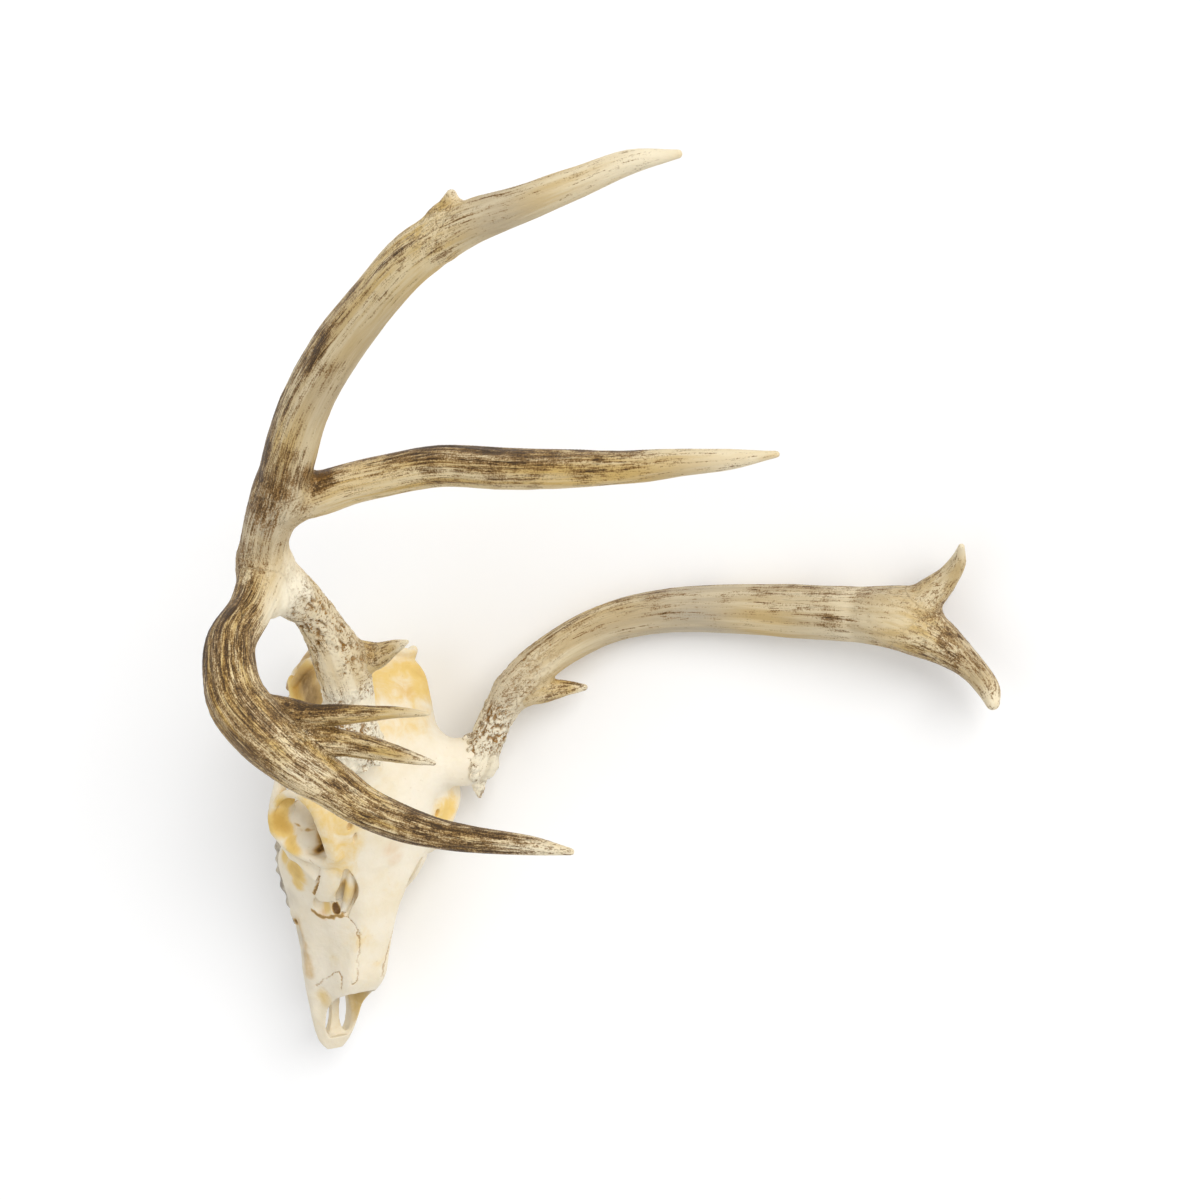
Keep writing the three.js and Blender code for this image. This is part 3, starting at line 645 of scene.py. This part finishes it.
def antler_material():
    n = Nodes("antler")
    own = n.attribute("own")

    def grained(*settings):
        first, second = (n.noise(n.attribute(key, "Vector"), *settings) for key in BRANCH_PLACES)
        return n.plus(second, n.times(own, n.minus(first, second)))

    broad = grained(0.16, 4, 0.6)
    streak = grained(0.5, 5, 0.68, 0.5)
    hair = grained(1.9, 4, 0.7, 0.4)
    split = grained(0.3, 3, 0.55, 0.3)
    brown = n.attribute("brown")
    colour = n.mix(n.span(broad, 0.38, 0.62), PALE_ANTLER, HONEY_ANTLER)
    dull = n.times(n.attribute("dull"), n.span(broad, 0.3, 0.7, 0.6, 1.0))
    colour = n.mix(dull, colour, GREY_ANTLER)
    colour = n.mix(n.attribute("pale"), colour, WHITE_ANTLER)
    line = n.plus(n.times(streak, 0.6), n.times(hair, 0.4))
    grit = n.noise(n.place(), 1000, 3, 0.7)
    cloud = n.noise(n.place(), 55, 4, 0.65)
    amount = n.swing(line, 1.5)
    for value, factor in ((brown, 0.5), (grit, 0.5), (cloud, 0.45)):
        amount = n.plus(amount, n.swing(value, factor))
    colour = n.mix(n.span(amount, -0.06, 0.10, 0.0, 0.92), colour, BROWN_ANTLER)
    colour = n.mix(n.span(amount, 0.09, 0.20, 0.0, 0.92), colour, DARK_ANTLER)
    crack = n.span(n.math("ABSOLUTE", n.minus(split, 0.5)), 0.0, 0.022, 1.0, 0.0)
    crack = n.times(crack, n.span(brown, 0.3, 0.7, 0.0, 0.8))
    colour = n.mix(crack, colour, DARK_ANTLER)
    colour = n.mix(n.attribute("dark"), colour, n.mix(n.span(grit, 0.42, 0.7), PIT_ANTLER, DARK_ANTLER))
    pore = n.span(n.noise(n.place(), 560, 3, 0.62, 0.9), 0.53, 0.61)
    pore = n.times(pore, n.attribute("porous"))
    colour = n.mix(n.times(pore, 0.92), colour, PIT_ANTLER)
    height = n.minus(n.minus(1.0, line), n.times(crack, 0.25))
    normal = n.bump(height, 0.6, 0.0016)
    normal = n.bump(n.minus(1.0, pore), 0.7, 0.0012, normal)
    sockets = {
        "Base Color": colour,
        "Roughness": n.span(hair, 0.2, 0.8, 0.36, 0.62),
        "Normal": n.bump(grit, 0.2, 0.0004, normal),
        "Specular IOR Level": 0.25,
        "Subsurface Weight": 0.03,
        "Subsurface Radius": (0.003, 0.0018, 0.001),
    }
    return n.surface(sockets)


def enamel_material():
    n = Nodes("worn_enamel")
    place = n.place()
    cloud = n.noise(place, 160, 4, 0.6)
    colour = n.mix(n.span(cloud, 0.35, 0.65), ENAMEL, DARK_ENAMEL)
    colour = n.mix(n.attribute("shade"), colour, SHADE)
    return n.surface({"Base Color": colour, "Roughness": 0.3, "Normal": n.bump(cloud, 0.3, 0.0006)})


# ---- pieces

def put(name, data):
    """A new object in the scene."""
    thing = bpy.data.objects.new(name, data)
    scene.collection.objects.link(thing)
    return thing


def piece(name, points, quads, material, replaced, slot, masks):
    """A mesh of the object in the row frame, with its masks as vertex attributes."""
    turn = np.array(TURN)
    placed = (points @ turn.T + np.array(ORIGIN)) * MM
    mesh = bpy.data.meshes.new(name)
    mesh.vertices.add(len(placed))
    mesh.vertices.foreach_set("co", placed.astype(np.float32).ravel())
    mesh.loops.add(quads.size)
    mesh.loops.foreach_set("vertex_index", quads.astype(np.int32).ravel())
    mesh.polygons.add(len(quads))
    mesh.polygons.foreach_set("loop_start", np.arange(0, quads.size, 4, dtype=np.int32))
    mesh.polygons.foreach_set("use_smooth", np.ones(len(quads), bool))
    mesh.update(calc_edges=True)
    for key, values in masks.items():
        kind, field = ("FLOAT_VECTOR", "vector") if values.ndim == 2 else ("FLOAT", "value")
        made = mesh.attributes.new(key, kind, "POINT")
        made.data.foreach_set(field, values.astype(np.float32).ravel())
    mesh.materials.append(material)
    thing = put(name, mesh)
    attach(thing, "root")
    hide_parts(*replaced)


BATCH = 20000  # points looked at together


def frames_along(line):
    """The direction of a line at each of its points, and a direction across it that never twists."""
    tangent = np.gradient(line, axis=0)
    tangent /= norm(tangent, axis=1, keepdims=True)
    side = np.zeros_like(tangent)
    across = np.cross(tangent[0], (0, 0, 1))
    for i, ahead in enumerate(tangent):
        across = across - across @ ahead * ahead
        across /= norm(across)
        side[i] = across
    return tangent, side


def antler_place(points, branches):
    """For each point its two nearest branches, each as gap, mm along, length, offsets across, number."""
    found = []
    for number, stations in enumerate(branches.values()):
        s = catmull(stations, 16)
        line = s[:, :3]
        centre = line.astype(np.float32)
        along = np.concatenate([[0], np.cumsum(norm(np.diff(line, axis=0), axis=1))])
        tangent, side = frames_along(line)
        best = np.empty(len(points), int)
        gap = np.empty(len(points))
        for i in range(0, len(points), BATCH):
            part = slice(i, i + BATCH)
            p = points[part].astype(np.float32)
            square = (p**2).sum(1)[:, None] - 2 * p @ centre.T + (centre**2).sum(1)
            away = np.sqrt(np.maximum(square, 0)) - s[:, 3]
            best[part] = away.argmin(1)
            gap[part] = away.min(1)
        off = points - line[best]
        u = np.einsum("ij,ij->i", off, side[best])
        v = np.einsum("ij,ij->i", off, np.cross(tangent, side)[best])
        w = along[best] + np.einsum("ij,ij->i", off, tangent[best])
        length = np.full(len(points), along[-1])
        found.append(np.column_stack([gap, w, length, u, v, np.full(len(points), number)]))
    found = np.array(found)
    nearest = found[:, :, 0].argsort(axis=0)[:2]
    return [found[order, np.arange(len(points))].T for order in nearest]


# How brown each branch is from its root to its tip (0 to 1), and how much more so where it faces the
# image's right and its top, in the drawing axes. The lean to the right is painted shade and light: browner
# on the sides away from the light, paler on the lit sides.
TO_RIGHT = np.array((0, 0.81, 0.59))
TO_TOP = np.array((-1, 0, 0))
BROWN = {
    "antler_right": {
        "main_beam": ((0.1, 0.12, 0.18, 0.22, 0.24, 0.24, 0.42, 0.62), -0.25, 0.0),
        "brow_tine": ((0.42, 0.5, 0.5, 0.35), -0.1, -0.1),
        "front_beam": ((0.4, 0.72, 0.8, 0.58, 0.66, 0.72, 0.45), -0.2, 0.0),
        "inner_front_tine": ((0.62, 0.62, 0.5, 0.15), 0.0, 0.4),
        "outer_front_tine": ((0.45, 0.44, 0.46, 0.36), 0.0, 0.2),
        "upper_rear_tine": ((0.66, 0.42, 0.28, 0.24, 0.24, 0.3), -0.45, 0.25),
        "lower_rear_tine": ((0.5, 0.48, 0.58, 0.52, 0.36, 0.3), 0.0, 0.45),
        "rear_knob": ((0.5, 0.4, 0.3), 0.0, 0.0),
    },
    "antler_left": {
        "main_beam": ((0.26, 0.28, 0.3, 0.27, 0.28, 0.35, 0.42), -0.1, 0.3),
        "brow_tine": ((0.6, 0.75, 0.5), 0.0, 0.1),
        "rear_tine": ((0.5, 0.4, 0.25), 0.0, 0.0),
        "front_tine": ((0.48, 0.5, 0.46, 0.36), 0.2, -0.15),
    },
}
# Where it is darkest, and where it is palest: x, y, z, reach and strength.
DARK_SPOTS = [
    (-112, -127, 219, 15, 0.9), (-120, -134, 230, 11, 0.5), (-103, -133, 211, 11, 0.5),
    (-109, -114, 215, 13, 0.9), (-4, -52, 152, 12, 0.5), (30, -113, 286, 9, 0.4),
]
PALE_STAINS = [
    (-40, -110, 176, 30, 1.2), (-34, -128, 186, 20, 0.8), (-56, -113, 180, 20, 0.7),
    (-24, -96, 158, 18, 0.8), (45, -150, 246, 20, 0.4),
]
# How grey each antler is, how far from its burr and how deeply it is pitted, and its noise's seed.
WEAR = {
    "antler_right": (0.32, 200, 1.0, 11),
    "antler_left": (0.55, 110, 0.7, 71),
}


def near_spots(points, spots):
    """The strongest spot at each point. They fade towards their reach, and y = 0 goes right across."""
    total = np.zeros(len(points))
    for x, y, z, reach, strength in spots:
        away = norm((points - (x, y, z)) * (1, y != 0, 1), axis=1)
        total = np.maximum(total, strength * (1 - ramp(away, 0.2 * reach, reach)))
    return total


def stretched(across, long, shift, along, length, u, v, number):
    """Places on a branch in steps across and along it, moved apart from the other branches'."""
    return np.column_stack([u / across, v / across, along / long + number * shift])


# The grain's relief as mm across and along, octaves and the seed's offset, and how high or deep it is.
FINE, WIDE, CREVICES = (2.6, 34, 3, 0), (9, 60, 1, 5), (1.8, 4.5, 2, 20)
FINE_HEIGHT, WIDE_HEIGHT, PIT_DEPTH = 0.75, 0.5, 1.5
BEAD = 3.6  # mm between the beads near a burr
FORK_BLEND = 14  # mm over which one branch's grain turns into the next one's
NOISE_SHIFT = 9  # steps between the grains of two branches in the relief
GRAIN_SHIFT = 37  # and in the material


class Grain:
    """Where an antler's points lie on their two nearest branches, and how far each is the first's own."""

    def __init__(self, points, branches):
        self.first, self.second = antler_place(points, branches)
        self.own = 0.5 + 0.5 * ramp(self.second[0] - self.first[0], 0, FORK_BLEND)

    def blend(self, worked):
        """A value worked out for each of the two branches, blended."""
        return self.own * worked(*self.first[1:]) + (1 - self.own) * worked(*self.second[1:])

    def noise(self, seed, across, long, octaves, offset):
        def worked(*branch):
            return rough(stretched(across, long, NOISE_SHIFT, *branch), octaves, seed + offset)

        return self.blend(worked)

    def tone(self, levels, normal, tip):
        """How brown each point is by its branch's levels, and by the way that it faces, partly as painted
        light and shade.
        """
        total = np.zeros(len(normal))
        for weight, branch in ((self.own, self.first), (1 - self.own, self.second)):
            for number, (steps, to_right, to_top) in enumerate(levels.values()):
                mine = branch[5] == number
                reach = np.clip(branch[1] / branch[2], 0, 1)[mine]
                level = np.interp(reach, np.linspace(0, 1, len(steps)), steps)
                # Painted light and shade: browner where the surface faces away from the image's right.
                facing_shade = normal[mine] @ (to_right * TO_RIGHT + to_top * TO_TOP)
                total[mine] += weight[mine] * (level + 0.5 * facing_shade * (1 - tip[mine]))
        return total


def weathered(name, points, normal, grain):
    """An antler's relief in mm, with its grain and the beads and pits near its burr, and its masks."""
    grey, pitted, depth, seed = WEAR[name]
    fine, wide, crevice = (grain.noise(seed, *shape) for shape in (FINE, WIDE, CREVICES))
    share = grain.blend(lambda along, length, *rest: np.clip(along / length, 0, 1))
    tip = ramp(share, 0.75, 1.0)
    beam = (grain.first[5] == 0) * grain.own
    pearl = depth * beam * (1 - ramp(grain.first[1], 0.45 * pitted, pitted))
    foot = beam * (1 - ramp(grain.first[1], 25, 70))
    beads, size = cells(points / BEAD, seed + 9)
    clump = ramp(noise(points / 15, seed + 3), -0.6, 0.2)
    relief = (FINE_HEIGHT * fine + WIDE_HEIGHT * wide) * (1 - 0.8 * tip)
    relief += (0.4 * pearl + 0.5 * foot) * (0.55 - beads) * (size > 0.3) * 2
    porous = np.clip(pearl + depth * foot, 0, 1) * clump
    pits = ramp(crevice, 0.14 - 0.1 * foot, 0.34) * porous
    relief -= PIT_DEPTH * pits
    tone = grain.tone(BROWN[name], normal, tip) + 0.16 * noise(points / 34, seed + 31)
    dark_spot = near_spots(points, DARK_SPOTS)
    bleached = near_spots(points, PALE_STAINS)
    pale = np.maximum(np.maximum(bleached, 0.8 * depth * foot + 0.5 * pearl), 0.7 * tip)
    masks = {
        "own": grain.own,
        "brown": np.clip(tone + 0.35 * dark_spot - 0.4 * bleached, 0, 1),
        "dark": np.maximum(0.85 * ramp(pits, 0.3, 0.8), 0.6 * dark_spot * ramp(fine, -0.5, 0.5)),
        "dull": np.clip(grey + 0.7 * noise(points / 45, seed + 41), 0, 1) * (1 - tip),
        "porous": porous,
        "pale": np.clip(pale, 0, 1) * ramp(wide, -1.2, -0.1),
    }
    for key, branch in zip(BRANCH_PLACES, (grain.first, grain.second)):
        masks[key] = stretched(1, 20, GRAIN_SHIFT, *branch[1:])
    return relief, masks


CRISP_TINES = ("inner_front_tine", "outer_front_tine")  # joined to their beam with hardly a web
CRISP = 1.5
WEBBED = 5.0


def antler(name, branches, extras):
    field = Field(*GRIDS[name])
    for key, stations in branches.items():
        field.tube(stations, CRISP if key in CRISP_TINES else WEBBED, spans=5)
    extras(field)
    points, quads = largest_shell(*field.surface())
    normal = normals(points, quads)
    relief, masks = weathered(name, points, normal, Grain(points, branches))
    nodes = [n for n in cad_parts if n.startswith(f"{name}_")]
    piece(name, points + normal * relief[:, None], quads, antler_material(), nodes, "antler", masks)


def collar(field, side):
    """The burr's ring of uneven knobs round the antler's foot."""
    start, end, radius = BURRS[side]
    start, end = np.array(start, float), np.array(end, float)
    middle = start + 0.5 * (end - start)
    axis = (end - start) / norm(end - start)
    u = np.cross(axis, (0, 0, 1))
    u /= norm(u)
    v = np.cross(axis, u)
    field.tube([(*start, radius - 4), (*middle, radius - 1.5), (*end, radius - 4)], 3, spans=2)
    for i in range(KNOBS):
        turned, pushed, raised, swollen = (math.sin(rate * i) for rate in UNEVEN)
        angle = 2 * math.pi * (i + 0.35 * turned) / KNOBS
        out = radius - 1.6 + 1.1 * pushed
        at = start + (0.3 + 0.25 * raised) * (end - start)
        at = at + out * (math.cos(angle) * u + math.sin(angle) * v)
        size = 0.15 * radius + 0.7 * swollen
        field.ball(at, (size, size, size), 1.6)


def right_extras(field):
    field.tube(FORK_WEB, WEBBED)
    collar(field, RIGHT)


def left_extras(field):
    collar(field, LEFT)
    field.tube(BURR_SPUR, 2.5)


# ---- skull

def mirrored(stations, side):
    """Stations or places that are drawn for the left, on either side."""
    return [(x, y * side, *rest) for x, y, *rest in stations]


# Openings of the face, drawn for the left: the gap between lacrimal, nasal and upper jaw bones with the
# scrolls of bone seen in it, the slit, hole and pocket beside it, the hollow over the teeth, and others.
FACE_GAP = [
    (134, 26, 78, 1.8), (140, 24, 76, 4.2), (147, 21, 71.5, 6.3), (152, 20.5, 67, 6.5), (158, 19.5, 63, 5),
    (163, 18.5, 61, 3.2),
]
FACE_SLIT = [(136, 35.3, 65, 1.0), (141, 34.4, 60.2, 2.0), (146, 33.4, 54.7, 2.2), (152, 32, 47.7, 1.4)]
FACE_HOLE = ((160, 22.5, 57), (5.5, 4, 3.4))
FACE_POCKET = ((160.5, 27.5, 49), (7, 4.5, 8.5))
CHEEK_HOLLOW = ((190, 27.5, 14.5), (17, 3.6, 6))
SCROLLS = [
    [(136, 22, 76, 1.8), (145, 19, 69.5, 2.9), (154, 18, 64.5, 3), (162, 17.5, 59, 2)],
    [(146, 9, 47, 5), (170, 8, 38, 5), (196, 7, 30, 4)],
]
BROW_HOLES = [((105, 31, 92.5), (2.6, 1.4, 4)), ((113, 26.5, 90.5), (3.6, 1.1, 3))]
PALATE_SLIT = ((236.5, 6.6, 11), (12.5, 3.9, 12))
CHEEK_HOLE = ((176, 27.5, 17), (4, 3, 2.5))
NASAL_WALL = [(134, 0, 46, 5), (210, 0, 30, 4)]  # between the two halves of the nose


def skull_field():
    field = Field(*GRIDS["skull"])
    field.loft(CRANIUM, 4)
    field.loft(BROW_SHELF, 4)
    field.tube(NUCHAL_CREST, 6)
    for side in (RIGHT, LEFT):
        field.tube(mirrored(ORBIT_RING, side), 4, spans=5)
        field.tube(mirrored(ORBIT_SHELF, side), 4)
        field.tube(mirrored(CHEEK_PLATE, side), 5, flat=((0.1, side * 0.5, 0.86), 2.4))
        field.tube(mirrored(SOCKET_FLOOR, side), 2, flat=((0.05, side * 0.2, 0.98), 3.2))
        field.tube(mirrored(CHEEK_ARCH, side), 4)
        field.tube(PAROCCIPITAL[side], 4)
        field.tube(mirrored(EAR_TUBE, side), 3)
        field.tube(PEDICLES[side], 11)
        field.tube(mirrored(PTERYGOID, side), 3, flat=((0, 1, 0), 4.5))
        field.tube(mirrored(MASTOID_CREST, side), 1.5)
        field.tube(mirrored(TEAR_PLATE, side), 1, flat=((0.1, side * 0.76, 0.64), 3.4))
        lumps = [(CONDYLE, 4), (BULLA, 2), (TUBER, 5), (MASTOID_CURL, 1)]
        for (at, half), blend in lumps + [(lobe, 1) for lobe in LACRIMAL_BULLA]:
            field.ball(*mirrored([at], side), half, blend)
    field.loft(NASAL_CAVITY, 1.5, cut=True)
    field.tube(FORAMEN_MAGNUM, 2, cut=True, flat=((0, 0, 1), 1.15))
    for side in (RIGHT, LEFT):
        holes = [(FACE_POCKET, 0.6), (FACE_HOLE, 0.6), (PALATE_SLIT, 1), (CHEEK_HOLE, 1.5)]
        for (at, half), blend in holes + [(CHEEK_HOLLOW, 4)] + [(hole, 1) for hole in BROW_HOLES]:
            field.ball(*mirrored([at], side), half, blend, cut=True)
        for opening in (FACE_GAP, FACE_SLIT):
            field.tube(mirrored(opening, side), 0.5, cut=True)
        for scroll in SCROLLS:
            field.tube(mirrored(scroll, side), 2)
    field.tube(NASAL_WALL, 1, flat=((0, 1, 0), 4))
    return field


# Sutures, drawn for the right.
SUTURES = [
    [
        (164.2, -19.9, 58.7), (168.1, -16.4, 63.1), (172.5, -13.6, 65.2), (178.9, -12, 65.5),
        (187.5, -10.9, 63.1), (197.6, -9.8, 59.3), (206.4, -8.9, 55.9), (209.6, -11.1, 53.3),
    ],
    [(214.6, -18.9, 22.6), (208, -17, 35), (203, -15.7, 45), (207, -14, 48), (214, -13.6, 44)],
    [(127.5, -43, 62), (132, -38.5, 63.5), (137, -34.3, 63)],
]
# Warm yellow, grey, rusty and dark areas: x, y, z, reach and strength. The dark areas, and some of the
# greys, are painted shade.
YELLOWS = [
    (22, 0, 84, 30, 0.85), (42, 0, 97, 22, 0.5), (36, -34, 70, 22, 0.7), (36, 34, 70, 22, 0.7),
    (104, -51, 49, 17, 1.55), (92, -53, 58, 12, 1.2), (118, -46, 53, 11, 1.3), (138, -36, 36, 15, 1.15),
    (130, -37, 26, 10, 0.9), (146, -34, 34, 10, 1.0), (105, -42, 90, 28, 0.72), (119, -35, 84, 24, 0.72),
    (131, -31, 77, 16, 0.62), (93, -50, 84, 18, 0.75), (114, -27, 62, 9, 1.4), (20, -36, 56, 24, 1.5),
    (143, -27, 62, 10, 0.4), (161, -26, 49, 9, 0.9), (148, -19, 66, 12, 0.75), (104, 36, 90, 20, 0.75),
    (95, 52, 62, 26, 0.8), (74, 44, 100, 12, 0.4), (180, -8, 62, 14, 0.35), (228, 10, 24, 20, 0.8),
    (222, -17, 26, 12, 0.6), (196, -20, 40, 12, 0.25),
]
# Greys: those low on the muzzle's side below its ridge, in the gap in the face and behind the ear are
# painted shade.
GREYS = [
    (100, -45, 57, 10, 0.35), (115, -44, 59, 10, 0.35), (8, -30, 54, 14, 1.0), (184, -26, 16, 12, 0.8),
    (196, -23.5, 18, 10, 0.8), (150, -18, 62, 12, 0.6), (160, -31, 18, 15, 0.5), (172, -28, 18, 12, 0.45),
]
RUSTS = [(122, -1, 91, 10, 0.45), (129, 3, 86.5, 8, 0.4), (28, 14, 88, 10, 0.4), (166.5, -25, 45, 5, 0.9)]
# Where the bulge in the eye socket keeps bare of yellow.
BARE = [(101, -42, 56, 13, 1.5), (108, -42, 58, 11, 1.5), (115, -40, 60, 12, 1.5)]
# Painted shade in the eye socket, behind the ear under the antler, and in the holes of the brow and cheek.
SHADE_SPOTS = [
    (21, -36, 61, 17, 0.7), (29, -37.5, 68, 17, 0.7), (30, -27, 18, 22, 0.6), (8, -29, 48, 17, 0.55),
    (115, -32, 62.5, 8, 0.8), (108.5, -31.5, 62, 6.5, 0.6), (121, -33, 59, 8, 0.8), (95, -42, 46, 7, 0.8),
    (105, -31, 92.5, 3.2, 0.6), (175, -25.9, 13.6, 3.5, 0.8),
]
# Painted shade along the edges of the openings and in the groove low on the muzzle, drawn for the right:
# the line, its reach and strength.
SHADE_LINES = [
    ([(136, -34, 63.5), (141, -33, 58.5), (146, -32, 53), (152, -30.5, 46)], 2.0, 0.75),
    ([(163, -28, 38), (167.5, -25, 44), (167, -21.5, 53), (165, -18.5, 61)], 1.8, 0.7),
    ([(134, -24, 79), (141, -20, 77), (148, -17.2, 74), (157, -15, 67)], 1.7, 0.6),
    ([(99, -50, 84), (101, -46, 84), (110, -42, 81), (121, -32, 64)], 2.5, 0.5),
    ([(107.5, -46, 54), (108.5, -44, 59), (109, -38, 62)], 2.6, 0.5),
    ([(174, -30, 20), (186, -28, 20), (196, -25.5, 21), (206, -22.5, 21)], 7, 0.32),
    ([(159.5, -20.5, 53.5), (163.5, -20, 55.5)], 3.2, 1.0),
]

MIRRORS = ((1, 1, 1), (1, -1, 1))  # the points as they are, and mirrored
BONE_RELIEF = ((16, 0.35, 3, 3), (3.2, 0.14, 2, 8))  # the widths and heights in mm, octaves and seeds
SEAM_SWAY = 1.1  # mm that a seam wanders, in steps of SEAM_STEP
SEAM_STEP = 2.6
SEAM_DEPTH = 0.3
SEAM_REACH = 9.0


def skull():
    points, quads = largest_shell(*skull_field().surface())
    normal = normals(points, quads)
    relief = sum(height * rough(points / width, *rest) for width, height, *rest in BONE_RELIEF)
    sway = points + SEAM_SWAY * np.column_stack([noise(points / SEAM_STEP, 50 + i) for i in range(3)])
    seam = np.full(len(points), SEAM_REACH)
    for line in SUTURES:
        for mirror in MIRRORS:
            seam = np.minimum(seam, near_line(sway * mirror, line, normal * mirror))
    relief -= SEAM_DEPTH * (1 - ramp(seam, 0.2, 1.2))
    masks = {"seam": seam}
    # The shade mask is painted shade, in the holes, the eye socket and behind the ear.
    for key, spots in (("yellow", YELLOWS), ("grey", GREYS), ("rust", RUSTS), ("shade", SHADE_SPOTS)):
        masks[key] = near_spots(points, spots)
    masks["yellow"] = masks["yellow"] * (1 - np.clip(near_spots(points, BARE), 0, 1))
    lower_face = ramp(points[:, 0], 120, 190) * ramp(60 - points[:, 2], -10, 30)
    masks["grey"] = np.maximum(masks["grey"], 0.3 * lower_face)
    # Painted shade along the edges of the openings and the muzzle's groove.
    for line, reach, strength in SHADE_LINES:
        for mirror in MIRRORS:
            away = near_line(sway * mirror, line, 0 * points)
            masks["shade"] = np.maximum(masks["shade"], strength * (1 - ramp(away, 0.3 * reach, reach)))
    nodes = [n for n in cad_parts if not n.startswith("antler")]
    piece("skull", points + normal * relief[:, None], quads, bone_material(), nodes, "bone", masks)


def tooth(field, x, middle, length, width, lobes):
    """A crown of one or two lobes, each with a worn valley in its chewing surface."""
    half = 0.5 * (length + TOOTH_OVERLAP) / len(lobes)
    for lobe in lobes:
        at = x + lobe * length
        crown = [(at, middle, CROWN_FOOT, half), (at, middle, TOOTH_TOP, half)]
        field.tube(crown, 1.6, spans=1, flat=((0, 1, 0), 2 * half / width))
        valley = [(at + end * half, middle, 0, VALLEY) for end in (-0.5, 0.5)]
        field.tube(valley, 0.5, cut=True, spans=1)


def teeth():
    field = Field(*GRIDS["cheek_teeth"])
    for side in (RIGHT, LEFT):
        row = [(x, length, outer - WORN[side], inner) for x, length, outer, inner in TEETH]
        for i, (x, length, outer, inner) in enumerate(row):
            lobes = (-0.25, 0.25) if i < MOLARS else (0,)
            tooth(field, x, side * (outer + inner) / 2, length, outer - inner, lobes)
        bar = [(x, side * (out + low) / 2, GUM_LINE, (out - low) / 2 - 0.7) for x, _, out, low in row]
        field.tube(bar, 1.5)
    heights = field.low[2] + field.step * np.arange(field.d.shape[2])
    field.d = np.maximum(field.d, -heights)
    points, quads = field.surface()
    shade = 0.5 * (1 - ramp(points[:, 2], 0, 3)) + 0.3 * ramp(noise(points / 3, 77), 0, 1)
    nodes = ["maxilla_right", "maxilla_left"]
    piece("cheek_teeth", points, quads, enamel_material(), nodes, "bone", {"shade": shade})


# ---- the whole thing

skull()
teeth()
antler("antler_right", RIGHT_ANTLER, right_extras)
antler("antler_left", LEFT_ANTLER, left_extras)

# ---- floor, light, camera

def soft_light(name, comes_from, strength, width):
    """A far light. width is the angle in degrees that it fills, which softens its shadows."""
    lamp = bpy.data.lights.new(name, "SUN")
    lamp.energy = strength
    lamp.angle = math.radians(width)
    thing = put(name, lamp)
    thing.location = comes_from
    thing.rotation_euler = (-Vector(comes_from)).to_track_quat("-Z", "Y").to_euler()


FLOOR_HALF = 30.0  # metres
WORLD_STRENGTH = 0.63


def floor():
    mesh = bpy.data.meshes.new("floor")
    corners = [(x * FLOOR_HALF, y * FLOOR_HALF, 0) for x, y in ((-1, -1), (1, -1), (1, 1), (-1, 1))]
    mesh.from_pydata(corners, [], [(0, 1, 2, 3)])
    mesh.materials.append(Nodes("pale_floor").surface({"Base Color": FLOOR, "Roughness": 0.9}))
    put("floor", mesh)


floor()
world = bpy.data.worlds.new("studio")
scene.world = world
world.use_nodes = True
background = world.node_tree.nodes["Background"]
background.inputs["Color"].default_value = WHITE
background.inputs["Strength"].default_value = WORLD_STRENGTH

# The camera, in the drawing axes: it is turned from above by these angles, stands this far off in mm, and
# shows the point AIM at the pixel AIM_PIXEL of a frame of FRAME_PIXELS, where one pixel is PIXEL mm.
LOOK_TILT, LOOK_YAW, LOOK_ROLL = (math.radians(v) for v in (54.0, 5.0, 2.0))
DISTANCE = 1700.0
AIM = Vector((130, 0, 60))
AIM_PIXEL = (367.7, 854.0)
FRAME_PIXELS = 1200
PIXEL = 0.612

rise, run = math.sin(LOOK_TILT), math.cos(LOOK_TILT)
base = Matrix(((0, rise, run), (-1, 0, 0), (0, -run, rise)))
look = Matrix.Rotation(LOOK_ROLL, 3, "Z") @ Matrix.Rotation(LOOK_YAW, 3, "X") @ base
half_frame = FRAME_PIXELS / 2
off = Vector(((AIM_PIXEL[0] - half_frame) * PIXEL, (half_frame - AIM_PIXEL[1]) * PIXEL, 0))
eye = AIM + look.transposed() @ (Vector((0, 0, DISTANCE)) - off)

camera = bpy.data.cameras.new("camera")
camera.sensor_fit = "AUTO"
camera.angle = 2 * math.atan(half_frame * PIXEL / DISTANCE)
camera.clip_start = 0.05
viewer = put("camera", camera)
facing = (TURN @ look.transposed()).to_quaternion()
viewer.matrix_world = Matrix.LocRotScale((TURN @ eye + ORIGIN) * MM, facing, None)
scene.camera = viewer

soft_light("key", (-1.3, 1.9, 2.0), 1.83, 34)
soft_light("fill", (0.4, -1.2, 2.4), 0.3, 60)

scene.view_settings.view_transform = "Standard"
